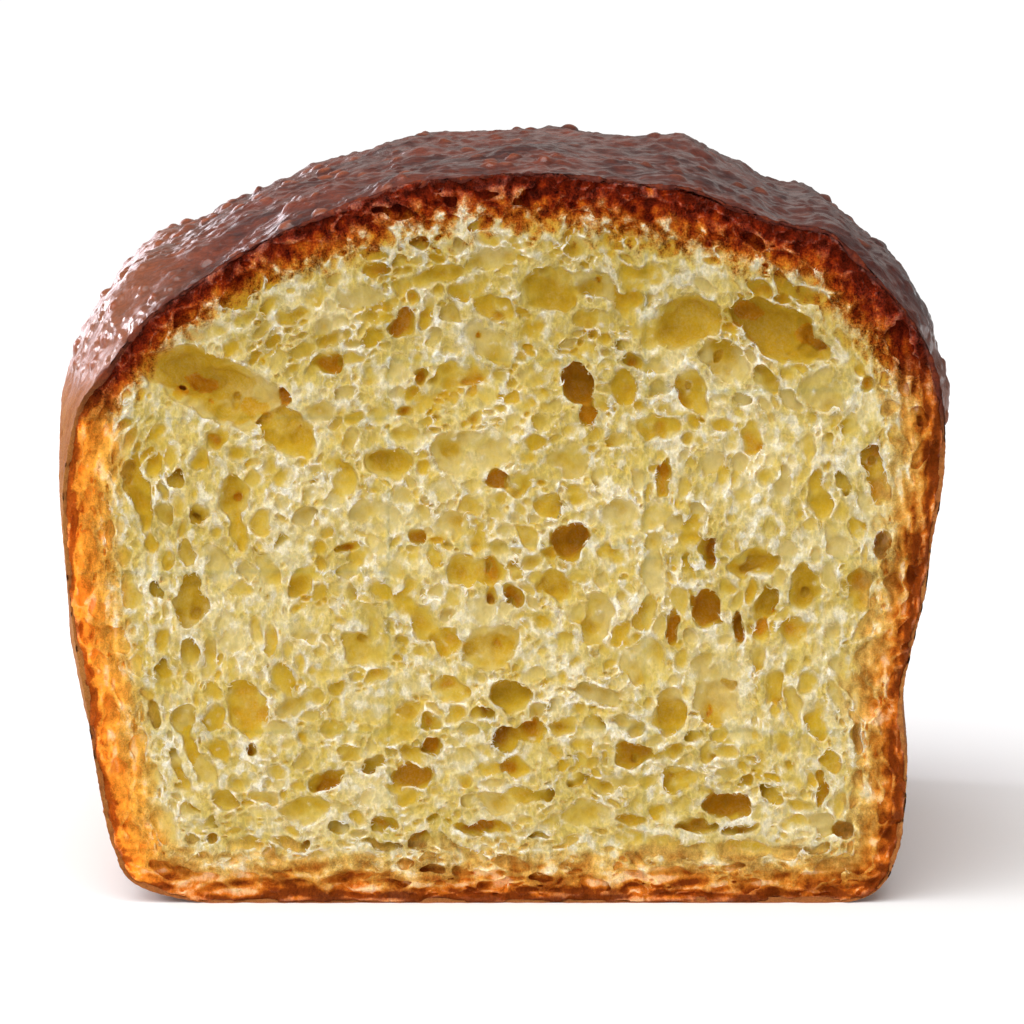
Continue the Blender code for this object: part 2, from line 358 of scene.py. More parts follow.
    def surface(self, ring: Ring, y: Array) -> Array:
        """The body's surface.

        Args:
            ring: The ring of the cut.
            y: Distances behind the cut.

        Returns:
            Points in section millimetres, shaped (distances, ring points, 3).
        """
        y = np.asarray(y, float)[:, None]
        x0, z0 = ring.points.T[:, None, :]
        nx, nz = ring.normals.T[:, None, :]
        upward = np.maximum(nz, 0.0)
        grown = ring.growth[None, :] * self.growing(y)
        x = x0 + grown * nx
        z = z0 + grown * upward
        for middle, behind, height, spread_x, spread_y in self.lobes:
            lobe = np.exp(-(((x0 - middle) / spread_x) ** 2) - ((y - behind) / spread_y) ** 2)
            z = z + height * lobe * upward
        clear = smooth(z0 / self.waves_full_above) * smooth(y / self.waves_full_behind)
        swelling = self.waves(x, y, z) * clear
        x = x + swelling * nx
        z = z + swelling * upward
        left = self.half_length - y
        above = z > self.core_height
        x = x * self.kept(left, self.heel_sides)
        shrink = np.where(above, self.kept(left, self.heel_crown), self.kept(left, self.heel_base))
        z = self.core_height + (z - self.core_height) * shrink
        lean = math.tan(math.radians(self.tin_lean)) * (z - self.core_height)
        return np.stack([x, y + lean * smooth(y / self.half_length) ** 2, z], axis=-1)

    def settle_on(self, low: Vector, high: Vector) -> None:
        """Finds the shift from section millimetres to the frame.

        Args:
            low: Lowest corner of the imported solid.
            high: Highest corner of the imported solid.
        """
        body = self.surface(self.ring(256, 9), np.linspace(0.0, self.half_length, 160))
        middle = (body[..., 0].min() + body[..., 0].max()) / 2
        solid_middle = (low.x + high.x) / 2 / MM
        self.shift = np.array([solid_middle - middle, low.y / MM, low.z / MM])

    def placed(self, points: Array) -> Array:
        """Section millimetres as metres in the frame."""
        return (points + self.shift) * MM


# ---------------------------------------------------------------------------------------------
# The crumb
# ---------------------------------------------------------------------------------------------


class Opening(Enum):
    """How an air cell that the knife opened goes back: its depth as a share of its size, how far its
    middle lies behind the cut as a share of that depth, and its darkest and palest shade. The caves,
    pits and slits get the darkest shades, a painted shade of their depth."""

    SCOOP = (0.46, -0.32, (0.60, 0.80))
    CAVE = (0.74, 0.00, (0.00, 0.40))
    BOWL = (0.60, -0.10, (-0.6, 1.0))
    DISH = (0.45, -0.35, (0.40, 1.0))
    PIT = (1.15, 0.35, (-1.0, -0.2))
    SLIT = (0.90, 0.0, (-1.0, 0.2))


@dataclass(frozen=True)
class CellSize:
    """One size of air cell that fills what the large ones leave."""

    radius: Pair
    wall: Pair
    flatness: Pair
    joined_share: float
    draws: int
    rounds: int
    margin: float


@dataclass
class Surface:
    """A mesh as arrays: points in section millimetres, quads, point normals and point values."""

    points: Array
    quads: Array
    normals: Array
    values: dict[str, Array]


@dataclass
class CrumbFoam:
    """The crumb behind the cut: a volume of air cells with thin walls between them."""

    form: LoafForm
    # the volume: its cells, and how far it reaches beside, over, under, before and behind the cut
    pitch: float = 0.23
    half_width: float = 60.5
    top: float = 98.0
    below: float = 0.5
    proud: float = 0.9
    deep: float = 9.0
    seed: int = 11
    # the wall under the crust, how far into it a cell may open, and the most that room counts
    skin: float = 0.55
    skin_opened: float = 0.3
    skin_uneven: float = 0.3
    skin_spacing: float = 3.0
    back_sheet: float = 0.8
    most_room: float = 5.0
    tuck: float = 0.45
    tuck_run: float = 0.9
    # the torn front behind the cut: its swells, its webs, its rims and its crumbly edge
    front_mean: float = 0.45
    front_range: Pair = (0.04, 1.9)
    front_blend: float = 0.25
    front_swell: float = 0.20
    swell_spacing: float = 4.0
    torn_spacing: float = 3.0
    front_webs: tuple[Pair, ...] = ((1.8, 0.27), (0.95, 0.15))
    rim: float = 0.20
    rim_least: float = 0.2
    crumbly: float = 0.17
    crumbly_reach: float = 8.0
    crumbly_fade: float = 3.0
    crumbly_spacings: Pair = (0.62, 1.3)
    crumbly_strands: float = 1.0
    crumble: float = 0.05
    crumble_spacing: float = 0.72
    # hidden air: the steepest look into the front, how much what it sees grows, and the wall put there
    steepest_look: int = 2
    seen_rounds: int = 2
    closed_wall: float = 0.5
    # how many cells the values look round a point: for open, keen and hollow_shade, and for the rims' level
    looks: tuple[int, int, int] = (2, 1, 8)
    level_reach: int = 5
    strand_grain: float = 0.55
    # the surface is eased a little, and left out under the crust and at the volume's back
    ease_rounds: int = 1
    ease_share: float = 0.6
    hidden_under: float = 0.3
    hidden_from: float = 2.2
    hidden_back: float = 0.2
    outline_points: tuple[int, int] = (860, 260)
    columns_at_once: int = 8192
    # an opened cell: how far the warp may move it, what it leaves at the back, and how far its shade goes
    warp_reach: float = 0.8
    back_wall: float = 1.5
    tinted_to: float = 1.05
    known_margin: float = 2.5
    known_edge: float = 0.4
    pocket_margin: float = 1.5
    pocket_edge: float = 0.3
    pocket_turn: float = -0.2
    # a cell is longer than broad: everywhere, and more near the crust, the foot and the sides
    longer: tuple[float, float, float, float] = (1.15, 0.9, 1.3, 1.1)
    longer_spread: Pair = (0.85, 1.2)
    turn_spread: float = 0.35
    fades: Triple = (13.0, 7.0, 16.0)
    flank_from: float = 58.0
    foot_fade: float = 9.0
    strand_shape: Pair = (0.8, 3.2)
    strand_even: float = 1.3
    joined_by: float = 0.35
    # a middling cell's middle behind the front and its soft edge, as shares of its depth and radius
    cell_back: Pair = (-0.55, 0.35)
    cell_soft: Pair = (0.2, 0.9)
    soft_radius: float = 1.5
    rim_at: float = 1.05
    rim_width: float = 0.22
    deep_rim: Pair = (0.15, 0.28)
    # small holes in the floors of the large cells
    inner_radius: Pair = (0.30, 0.65)
    inner_shape: tuple[Pair, float, float] = ((0.9, 1.4), 1.0, 0.9)
    inner_sunk: float = 0.2
    inner_margin: float = 0.8
    inner_edge: float = 0.15
    inner_floor: float = 1.3
    inner_from_crust: float = 4.0
    waviness: tuple[Pair, ...] = ((6.5, 0.60), (1.9, 0.24), (0.75, 0.15))
    cells: CellSize = CellSize((1.30, 3.40), (0.15, 0.80), (0.30, 0.70), 0.12, 150, 7, 2.2)
    cups: tuple[CellSize, ...] = (
        CellSize((0.95, 2.40), (0.02, 0.25), (0.26, 0.60), 0.55, 600, 9, 1.9),
        CellSize((0.55, 0.95), (0.04, 0.30), (0.34, 0.80), 0.50, 900, 9, 1.5),
        CellSize((0.34, 0.55), (0.06, 0.40), (0.45, 1.10), 0.35, 900, 5, 1.3),
    )
    inner_cells: int = 26
    # x, z, width, height, tilt
    caves: tuple[tuple[float, ...], ...] = (
        (35.0, 75.3, 15.0, 6.5, -25), (-40.0, 69.1, 15.6, 6.8, -9), (22.9, 76.4, 10.2, 7.6, -10),
        (-28.2, 60.9, 7.2, 6.0, 0), (5.6, 80.6, 8.6, 5.0, -8), (0.5, 27.4, 6.9, 5.0, -10),
        (21.9, 25.0, 5.0, 5.2, 0), (-35.8, 53.8, 3.7, 5.8, 12), (6.7, 41.8, 5.4, 3.9, 0),
        (39.0, 41.6, 3.9, 7.2, 5), (-15.2, 58.0, 6.3, 4.3, 0),
    )  # fmt: skip
    # x, y, z, width, depth, height
    pockets: tuple[tuple[float, ...], ...] = (
        (-39.8, 4.4, 67.8, 3.4, 2.4, 2.6), (-42.6, 4.0, 66.9, 1.8, 1.4, 1.8),
        (-28.7, 1.9, 66.6, 1.8, 2.4, 3.2), (40.2, 3.0, 73.8, 6.0, 2.4, 2.2),
        (31.5, 3.4, 77.4, 4.5, 2.0, 2.0),
    )  # fmt: skip
    scoops: tuple[tuple[float, ...], ...] = ((-36.9, 67.5, 20.2, 8.6, -9),)
    bowls: tuple[tuple[float, ...], ...] = (
        (-47.4, 54.0, 2.9, 9.4, 6), (-21.4, 82.3, 3.9, 1.7, 10), (-32.5, 64.6, 3.5, 2.2, 0),
        (-39.7, 58.3, 2.4, 2.9, 0), (-8.3, 82.7, 9.8, 3.0, 15), (-10.0, 79.0, 2.1, 2.5, 0),
        (-1.4, 78.2, 4.7, 3.1, 0),
        (39.3, 79.9, 4.2, 3.2, -30), (47.2, 73.8, 2.1, 2.4, 0), (50.0, 65.4, 2.6, 2.2, 0),
        (15.3, 67.6, 4.3, 5.5, 0), (24.1, 67.5, 3.5, 6.3, 20), (31.8, 61.3, 3.1, 5.8, 0),
        (4.6, 63.4, 2.4, 2.2, 0), (-2.6, 66.5, 2.1, 3.1, 0), (-14.1, 70.0, 2.6, 3.7, 0),
        (-7.7, 50.0, 4.3, 4.5, 0), (3.1, 48.1, 4.1, 3.5, 0), (-5.6, 44.2, 4.7, 3.7, 0),
        (-10.5, 36.8, 4.8, 4.8, 0), (-2.2, 33.3, 6.3, 5.6, 0), (11.8, 27.6, 6.3, 3.1, -20),
        (22.6, 16.9, 5.5, 3.1, -10), (35.9, 55.0, 2.3, 6.3, 5), (40.9, 53.4, 2.6, 6.3, 5),
        (43.4, 47.2, 3.1, 5.8, 10), (42.6, 35.7, 2.2, 5.5, 0),
        (32.2, 44.8, 6.3, 3.9, 0), (25.0, 51.6, 2.4, 3.0, 0), (34.7, 29.2, 3.0, 5.1, 0),
        (35.9, 21.2, 2.5, 4.2, 0), (30.9, 22.4, 2.9, 2.9, 0), (26.2, 20.0, 2.6, 3.0, 0),
        (41.7, 10.7, 4.1, 3.4, 0), (-26.2, 50.7, 4.5, 2.6, 0), (-23.6, 48.9, 2.8, 2.1, 0),
        (-20.6, 44.0, 2.9, 1.7, 0), (-41.8, 46.5, 2.4, 4.2, 0), (-16.8, 33.7, 5.9, 4.7, 0),
        (-29.6, 29.5, 3.0, 4.5, 0), (-24.9, 27.5, 2.9, 2.9, 0), (-46.6, 27.8, 1.7, 2.6, 0),
        (-41.9, 24.4, 3.3, 3.9, 0), (-39.0, 30.5, 2.4, 2.2, 0), (-25.7, 22.1, 3.3, 2.2, 0),
        (-41.5, 12.4, 2.2, 1.8, 0), (-41.3, 8.3, 2.1, 2.2, 0), (-34.1, 10.9, 3.0, 1.8, 0),
        (-2.1, 17.6, 3.7, 2.4, 0), (-9.0, 15.1, 3.5, 2.6, 0), (-4.6, 22.8, 3.1, 2.0, 0),
    )  # fmt: skip
    dishes: tuple[tuple[float, ...], ...] = (
        (-23.3, 76.2, 5.8, 2.9, 10), (-18.7, 79.9, 5.0, 3.7, 0), (-44.5, 51.5, 2.1, 3.7, 0),
        (29.7, 84.8, 6.6, 3.7, -15), (42.2, 68.1, 5.6, 6.5, 0), (-1.7, 74.0, 6.6, 5.0, 0),
        (-4.7, 58.8, 10.2, 6.3, 0), (-17.4, 50.6, 6.0, 4.7, 0), (14.4, 51.1, 6.0, 5.4, 0),
        (-14.7, 44.4, 3.1, 3.7, 0), (-3.4, 39.2, 4.7, 3.9, 0), (17.7, 32.4, 6.0, 6.8, 0),
        (28.0, 29.7, 8.1, 10.2, 0), (-21.0, 41.1, 3.7, 2.6, 0), (-45.9, 16.6, 2.6, 4.1, 0),
        (-35.5, 36.0, 4.5, 6.5, 10), (-26.0, 37.0, 5.5, 4.0, 0), (7.5, 58.5, 5.0, 6.0, -20),
        (30.5, 53.0, 3.4, 7.0, 8), (12.5, 37.5, 4.5, 5.5, 0), (-17.0, 26.0, 5.0, 4.2, 0),
        (46.5, 27.0, 3.0, 6.0, 4), (-31.0, 43.5, 3.4, 5.2, 12), (19.5, 43.5, 4.2, 5.6, -10),
    )  # fmt: skip
    pits: tuple[tuple[float, ...], ...] = (
        (9.6, 68.8, 5.0, 6.6, -15), (-13.4, 76.1, 3.4, 3.4, 0),
        (-22.9, 70.7, 3.1, 2.6, 0), (-1.0, 56.2, 3.3, 3.1, 0), (-11.5, 48.5, 3.0, 2.6, 0),
        (8.1, 47.8, 4.5, 4.7, 0), (1.2, 40.9, 2.2, 2.8, 0), (-1.8, 40.1, 1.6, 2.1, 0),
        (16.9, 19.7, 5.0, 3.1, 0), (25.9, 38.3, 4.2, 4.7, 0),
        (29.7, 13.1, 5.0, 2.6, 0), (31.6, 16.4, 1.6, 1.6, 0), (44.5, 9.3, 2.9, 3.7, 0),
        (-20.8, 46.9, 2.6, 1.4, 0), (-12.1, 16.9, 4.5, 2.6, 0), (35.8, 79.4, 2.0, 1.7, 0),
        (13.4, 80.8, 1.7, 1.5, 0), (47.0, 68.4, 1.6, 2.1, 0), (10.7, 64.2, 2.2, 4.1, 0),
        (-11.0, 69.4, 1.6, 2.1, 0), (-13.1, 64.8, 2.6, 2.0, 0), (30.4, 36.0, 1.7, 5.0, 0),
        (21.5, 35.9, 1.7, 4.2, 0), (48.7, 47.8, 2.0, 3.1, 0), (26.2, 46.5, 2.0, 4.3, 0),
        (20.3, 56.7, 1.6, 3.7, 0), (45.7, 22.0, 1.4, 4.2, 0), (-33.3, 20.3, 1.6, 2.1, 0),
        (-38.4, 8.6, 1.7, 1.8, 0), (-26.2, 7.5, 1.3, 2.5, 0), (-9.3, 20.8, 2.1, 2.6, 0),
    )  # fmt: skip
    slits: tuple[tuple[float, ...], ...] = (
        (-3.0, 10.1, 8.1, 1.4, 0), (3.7, 9.0, 3.9, 0.7, 0), (8.4, 8.6, 3.0, 0.7, 0),
        (7.5, 7.6, 3.0, 0.8, 0), (24.5, 10.4, 5.8, 1.4, 0), (31.3, 9.8, 3.7, 1.3, 0),
        (36.0, 6.6, 5.6, 1.2, 0), (29.9, 4.6, 3.4, 1.0, 0), (-9.4, 11.4, 2.1, 1.2, 0),
        (-10.1, 4.6, 3.4, 1.2, 0), (-6.0, 4.1, 3.7, 1.3, 0), (17.0, 3.8, 3.0, 1.4, 0),
        (-19.9, 2.2, 2.6, 1.0, 0), (-30.0, 5.0, 4.0, 1.2, 5), (-17.0, 7.6, 4.4, 1.1, -4),
    )  # fmt: skip

    def __post_init__(self) -> None:
        """Lays out the volume and what it needs to know of the section."""
        h = self.pitch
        self.rng = np.random.default_rng(self.seed)
        self.x = np.arange(-self.half_width, self.half_width + h, h, dtype=np.float32)
        self.y = np.arange(-self.proud, self.deep + h, h, dtype=np.float32)
        self.z = np.arange(-self.below, self.top + h, h, dtype=np.float32)
        self.origin = np.array([self.x[0], self.y[0], self.z[0]])
        self._measure_section()
        self._set_volume()

    def _measure_section(self) -> None:
        """Finds each column's distance inside the cut's outline, and what of the outline is nearest."""
        ring = self.form.ring(*self.outline_points)
        gx, gz = np.meshgrid(self.x, self.z, indexing="ij")
        spots = np.column_stack([gx.ravel(), gz.ravel()]).astype(np.float32)
        outline = ring.points.astype(np.float32)
        squared = (outline**2).sum(1)
        nearest = np.zeros(len(spots), int)
        for start in range(0, len(spots), self.columns_at_once):
            some = slice(start, start + self.columns_at_once)
            nearest[some] = np.argmin(squared - 2.0 * spots[some] @ outline.T, axis=1)
        away = spots - outline[nearest]
        length = np.hypot(*away.T)
        inside = np.where((away * ring.normals[nearest]).sum(1) > 0, -length, length)
        shape = gx.shape
        self.inside = inside.reshape(shape).astype(np.float32)
        self.grown = ring.growth[nearest].reshape(shape).astype(np.float32)
        self.share = ring.share[nearest].reshape(shape).astype(np.float32)
        normal = ring.normals[nearest]
        self.turn = np.arctan2(-normal[:, 0], normal[:, 1]).reshape(shape)

    def _set_volume(self) -> None:
        """Sets the body's depth everywhere, the waviness of the cells, and the free room."""
        growing = self.form.growing(self.y).astype(np.float32)
        tuck = (self.tuck * smooth(self.y / self.tuck_run)).astype(np.float32)
        room = self.inside[:, None, :] + self.grown[:, None, :] * growing[None, :, None]
        self.under = room - tuck[None, :, None]
        axes = [self.x, self.y, self.z]
        self.warp = []
        for _ in range(3):
            self.warp.append(sum(high * lattice_noise(axes, long, self.rng) for long, high in self.waviness))
        self.wall = np.minimum(self.under - self.skin + self.skin_opened, self.most_room)
        self.tone = np.zeros_like(self.inside)

    @property
    def level(self) -> int:
        """The volume's layer where the front lies on the whole."""
        return int(round((self.front_mean + self.proud) / self.pitch))

    def _index_of(self, spot: Array) -> tuple[int, ...]:
        """The volume's cell at a spot, or the nearest one."""
        at = np.round((spot - self.origin) / self.pitch).astype(int)
        return tuple(np.clip(at, 0, np.array(self.wall.shape) - 1))

    def _warped(self, middle: Array, at: tuple[int, ...]) -> Array:
        """A cell's middle moved as the warp moves the volume at an index."""
        return middle + [float(w[at]) for w in self.warp]

    def _stretch(self, x: float, z: float) -> Pair:
        """How long and how turned a cell grows at a place of the section.

        Args:
            x: Place across.
            z: Place up.

        Returns:
            Length over breadth, and the turn of the long side in radians.
        """
        i = min(max(int((x - self.x[0]) / self.pitch), 0), len(self.x) - 1)
        k = min(max(int((z - self.z[0]) / self.pitch), 0), len(self.z) - 1)
        crust_fade, foot_fade, flank_fade = self.fades
        near = math.exp(-max(float(self.inside[i, k]), 0.0) / crust_fade)
        foot = math.exp(-max(z, 0.0) / foot_fade)
        flank = math.exp(-max(self.flank_from - abs(x), 0.0) / flank_fade)
        anywhere, at_crust, at_foot, at_flank = self.longer
        longer = anywhere + at_crust * near + at_foot * foot + at_flank * flank
        return longer, float(self.turn[i, k])

    def open_cell(
        self,
        middle: Array,
        radii: Array,
        turn: float,
        margin: float,
        soft: float,
        shades: Pair = ANY_SHADE,
    ) -> None:
        """Opens one uneven ellipsoid in the wall.

        Args:
            middle: Its middle.
            radii: Its radii along its own length, depth and breadth.
            turn: Turn in the section, in radians.
            margin: How far round it the distance to it is kept.
            soft: How wide its edge is rounded where it meets another cell.
            shades: The darkest and palest shade that it may get, from -1 to 1.
        """
        h = self.pitch
        c, s = math.cos(turn), math.sin(turn)
        reach = np.array([
            math.hypot(radii[0] * c, radii[2] * s), radii[1], math.hypot(radii[0] * s, radii[2] * c)
        ])
        pad = margin + self.warp_reach
        low = np.maximum(np.floor((middle - reach - pad - self.origin) / h).astype(int), 0)
        high = np.minimum(np.ceil((middle + reach + pad - self.origin) / h).astype(int), self.wall.shape)
        if (high <= low).any():
            return
        part = tuple(slice(a, b) for a, b in zip(low, high))
        dx = self.x[part[0], None, None] - np.float32(middle[0]) + self.warp[0][part]
        dy = self.y[None, part[1], None] - np.float32(middle[1]) + self.warp[1][part]
        dz = self.z[None, None, part[2]] - np.float32(middle[2]) + self.warp[2][part]
        u = (c * dx + s * dz) / np.float32(radii[0])
        v = dy / np.float32(radii[1])
        w = (-s * dx + c * dz) / np.float32(radii[2])
        near = np.sqrt(u * u + v * v + w * w)
        steep = np.sqrt((u / radii[0]) ** 2 + (v / radii[1]) ** 2 + (w / radii[2]) ** 2) + 1e-6
        away = (near * (near - 1.0) / steep).astype(np.float32)
        self.wall[part] = blended(self.wall[part], away, np.float32(soft))
        self._tint((part[0], part[2]), near.min(axis=1), shades)

    def _tint(
        self, part: tuple[slice, slice], near: Array, shades: Pair = ANY_SHADE
    ) -> None:
        """Gives a cell its own shade where it opens.

        Args:
            part: The columns of the section round the cell.
            near: Their distance to its middle, as a share of its radius.
            shades: The darkest and palest shade that it may get.
        """
        shade = self.rng.uniform(*shades)
        self.tone[part] = np.where(near < self.tinted_to, shade, self.tone[part])

    def open_known_cells(self) -> None:
        """Opens the cells that stand out on the cut."""
        groups = (
            (self.scoops, Opening.SCOOP), (self.caves, Opening.CAVE), (self.bowls, Opening.BOWL),
            (self.dishes, Opening.DISH), (self.pits, Opening.PIT), (self.slits, Opening.SLIT),
        )  # fmt: skip
        for cells, opening in groups:
            deep, back, shades = opening.value
            open_share = math.sqrt(1.0 - back**2)
            for x, z, width, height, tilt in cells:
                depth = deep * math.sqrt(width * height) / 2
                depth = min(depth, (self.deep - self.back_wall) / (1.0 + back))
                radii = np.array([width / 2 / open_share, depth, height / 2 / open_share])
                middle = np.array([x, self.front_mean + back * depth, z])
                middle = self._warped(middle, self._index_of(middle))
                self.open_cell(middle, radii, math.radians(tilt), self.known_margin, self.known_edge, shades)
        for *spot, width, thick, height in self.pockets:
            middle = self._warped(np.array(spot), self._index_of(np.array(spot)))
            radii = np.array([width, thick, height]) / 2
            darkest_shades = Opening.PIT.value[2]
            margin, edge = self.pocket_margin, self.pocket_edge
            self.open_cell(middle, radii, self.pocket_turn, margin, edge, darkest_shades)

    def fill_with_cells(self) -> None:
        """Opens middling cells at the cut, wherever the wall has room for them."""
        rng, size = self.rng, self.cells
        level = self.level
        smallest, largest = size.radius
        made = 0
        for _ in range(size.rounds):
            room = self.wall[:, level, :]
            free = np.flatnonzero(room.ravel() > smallest + size.wall[0])
            if len(free) == 0:
                break
            picks = rng.choice(free, min(size.draws, len(free)), replace=False)
            for i, k in np.column_stack(np.unravel_index(picks, room.shape)):
                radius = self._radius_for(size, float(room[i, k]))
                if radius < smallest:
                    continue
                deep = radius * rng.uniform(*size.flatness)
                back = deep * rng.uniform(*self.cell_back)
                middle = np.array([self.x[i], self.front_mean + back, self.z[k]])
                longest, broad, turn = self._shape_of(radius, middle[0], middle[2])
                middle = self._warped(middle, (i, level, k))
                radii = np.array([longest, deep, broad])
                soft = rng.uniform(*self.cell_soft) * min(radius, self.soft_radius)
                self.open_cell(middle, radii, turn, size.margin, soft)
                made += 1
        LOG.info("cells of %.2f-%.2f mm: %d", 2 * smallest, 2 * largest, made)

    def _radius_for(self, size: CellSize, room: float) -> float:
        """Draws a radius for a cell.

        Args:
            size: The cell's kind.
            room: Distance to the next cell.

        Returns:
            The radius, less than the kind's smallest where there is no room.
        """
        smallest, largest = size.radius
        joined = self.rng.random() < size.joined_share
        gap = -self.joined_by * smallest if joined else self.rng.uniform(*size.wall)
        want = smallest + (largest - smallest) * self.rng.random() ** 2
        return min(want, room - gap)

    def _shape_of(self, radius: float, x: float, z: float) -> Triple:
        """Draws how a cell is stretched.

        Args:
            radius: Its mean radius.
            x: Its place across.
            z: Its place up.

        Returns:
            Its long and short radius, and its turn in radians.
        """
        longer, turn = self._stretch(x, z)
        longer *= self.rng.uniform(*self.longer_spread)
        turn += self.rng.normal(0.0, self.turn_spread / longer)
        return radius * math.sqrt(longer), radius / math.sqrt(longer), turn

    def packed_cups(self) -> tuple[Array, Array]:
        """Packs shallow cells over what the deep ones leave of the cut.

        Returns:
            For each column of the section, how deep its cell goes, and how much it is part of a rim.
        """
        rng = self.rng
        level = self.level
        room = np.minimum(self.wall[:, level, :], self.inside - self.rim)
        cups, rims = np.zeros_like(room), np.zeros_like(room)
        bend_x, bend_z = self.warp[0][:, level, :], self.warp[2][:, level, :]
        for size in self.cups:
            smallest, largest = size.radius
            made = 0
            for _ in range(size.rounds):
                free = np.flatnonzero(room.ravel() > smallest + size.wall[0])
                picks = rng.choice(free, min(size.draws, len(free)), replace=False)
                for i, k in np.column_stack(np.unravel_index(picks, room.shape)):
                    radius = self._radius_for(size, float(room[i, k]))
                    if radius < smallest:
                        continue
                    depth = radius * rng.uniform(*size.flatness)
                    longest, broad, turn = self._shape_of(radius, float(self.x[i]), float(self.z[k]))
                    n = int((longest + size.margin) / self.pitch) + 1
                    part = (slice(max(i - n, 0), i + n + 1), slice(max(k - n, 0), k + n + 1))
                    dx = self.x[part[0], None] - self.x[i] + bend_x[part] - bend_x[i, k]
                    dz = self.z[None, part[1]] - self.z[k] + bend_z[part] - bend_z[i, k]
                    c, s = math.cos(turn), math.sin(turn)
                    near = np.hypot((c * dx + s * dz) / longest, (c * dz - s * dx) / broad)
                    room[part] = np.minimum(room[part], (near - 1.0) * broad)
                    cups[part] = np.maximum(cups[part], depth * (1.0 - near**3))
                    self._tint(part, near)
                    off_rim = (near - self.rim_at) * radius / self.rim_width
                    rims[part] = np.maximum(rims[part], np.exp(-(off_rim**2)))
                    made += 1
            LOG.info("cups of %.2f-%.2f mm: %d", 2 * smallest, 2 * largest, made)
        return cups, rims

    def open_inner_cells(self) -> None:
        """Opens small round holes in the floors of the large cells."""
        level = self.level
        behind = self.wall[:, level:, :]
        floor = np.argmax(behind > 0.0, axis=1) * self.pitch
        large = (floor > self.inner_floor) & (self.inside > self.inner_from_crust)
        free = np.flatnonzero(large.ravel())
        for pick in self.rng.choice(free, self.inner_cells, replace=False):
            i, k = np.unravel_index(pick, floor.shape)
            radius = self.rng.uniform(*self.inner_radius)
            back = float(floor[i, k]) + self.inner_sunk * radius
            middle = np.array([self.x[i], self.front_mean + back, self.z[k]])
            j = min(level + int(floor[i, k] / self.pitch), len(self.y) - 1)
            middle = self._warped(middle, (i, j, k))
            long, deep, broad = self.inner_shape
            radii = radius * np.array([self.rng.uniform(*long), deep, broad])
            turn = self.rng.uniform(0.0, math.pi)
            self.open_cell(middle, radii, turn, self.inner_margin, self.inner_edge)

    def _strands(self, spacing: float) -> Array:
        """Noise that runs up along the sides, level along the foot, and no way between.

        Args:
            spacing: How far the lumps are from each other across their length.

        Returns:
            A value of about -1 to 1 for each column of the section.
        """
        plane = [self.x, self.z]
        flank = np.exp(-np.maximum(self.flank_from - np.abs(self.x), 0.0) / self.fades[2])[:, None]
        foot = np.exp(-np.maximum(self.z, 0.0) / self.foot_fade)[None, :]
        narrow, long = (spacing * share for share in self.strand_shape)
        even = lattice_noise(plane, (spacing, self.strand_even * spacing), self.rng)
        upright = lattice_noise(plane, (narrow, long), self.rng)
        lying = lattice_noise(plane, (long, narrow), self.rng)
        return (1.0 - foot) * ((1.0 - flank) * even + flank * upright) + foot * lying

    def _front(self) -> Array:
        """How far the torn front lies behind the cut: shallow cells with raised rims in a woolly web.

        Returns:
            Millimetres for each column of the section.
        """
        plane = [self.x, self.z]
        cups, rims = self.packed_cups()
        torn = smooth(0.5 + 0.6 * lattice_noise(plane, self.torn_spacing, self.rng))
        swell = lattice_noise(plane, self.swell_spacing, self.rng)
        front = self.front_mean + self.front_swell * swell
        for spacing, height in self.front_webs:
            front += height * (0.5 + torn) * (np.abs(self._strands(spacing)) - 0.5)
        at, width = self.deep_rim
        rims = np.maximum(rims, np.exp(-(((self.wall[:, self.level, :] - at) / width) ** 2)))
        crust = smooth((self.crumbly_reach - self.inside) / self.crumbly_fade)
        fine, coarse = self.crumbly_spacings
        crumbly = 0.6 * lattice_noise(plane, fine, self.rng) + lattice_noise(plane, coarse, self.rng)
        front += self.crumbly * crust * (crumbly + self._strands(self.crumbly_strands))
        front += np.where(cups > 0.0, cups, -self.rim * rims * (self.rim_least + torn))
        return np.clip(front, *self.front_range)

    def solid_field(self) -> Array:
        """What is left: positive in the walls, negative in the air.

        Returns:
            A volume in millimetres, near the surface.
        """
        crumble = lattice_noise([self.x, self.y, self.z], self.crumble_spacing, self.rng)
        wall = self.wall + self.crumble * crumble
        uneven = lattice_noise([self.x, self.z], self.skin_spacing, self.rng)
        thick = self.skin * (1.0 + self.skin_uneven * uneven)
        wall = np.maximum(wall, thick[:, None, :] - self.under)
        wall = np.maximum(wall, self.y[None, :, None] - (self.deep - self.back_sheet))
        behind_front = self.y[None, :, None] - self._front()[:, None, :]
        wall = blended(wall, behind_front, np.float32(self.front_blend))
        self.wall = np.minimum(wall, self.under)
        return self.wall

    def close_hidden_air(self, solid: Array) -> None:
        """Fills the air that shows from nowhere in front of the cut.

        Args:
            solid: The volume, changed in place.
        """
        air = solid <= 0
        seen = np.zeros_like(air)
        slopes = range(-self.steepest_look, self.steepest_look + 1)
        for across in slopes:
            for up in slopes:
                look = air[:, 0, :]
                for j in range(air.shape[1]):
                    steps = (across * (j % 2), up * (j % 2))
                    look = air[:, j, :] & np.roll(look, steps, axis=(0, 1))
                    seen[:, j, :] |= look
        for _ in range(self.seen_rounds):
            grown = seen.copy()
            grown[1:] |= seen[:-1]
            grown[:-1] |= seen[1:]
            grown[:, 1:] |= seen[:, :-1]
            grown[:, :-1] |= seen[:, 1:]
            grown[:, :, 1:] |= seen[:, :, :-1]
            grown[:, :, :-1] |= seen[:, :, 1:]
            seen = grown & air
        solid[air & ~seen & (self.under > 0)] = self.closed_wall * self.pitch

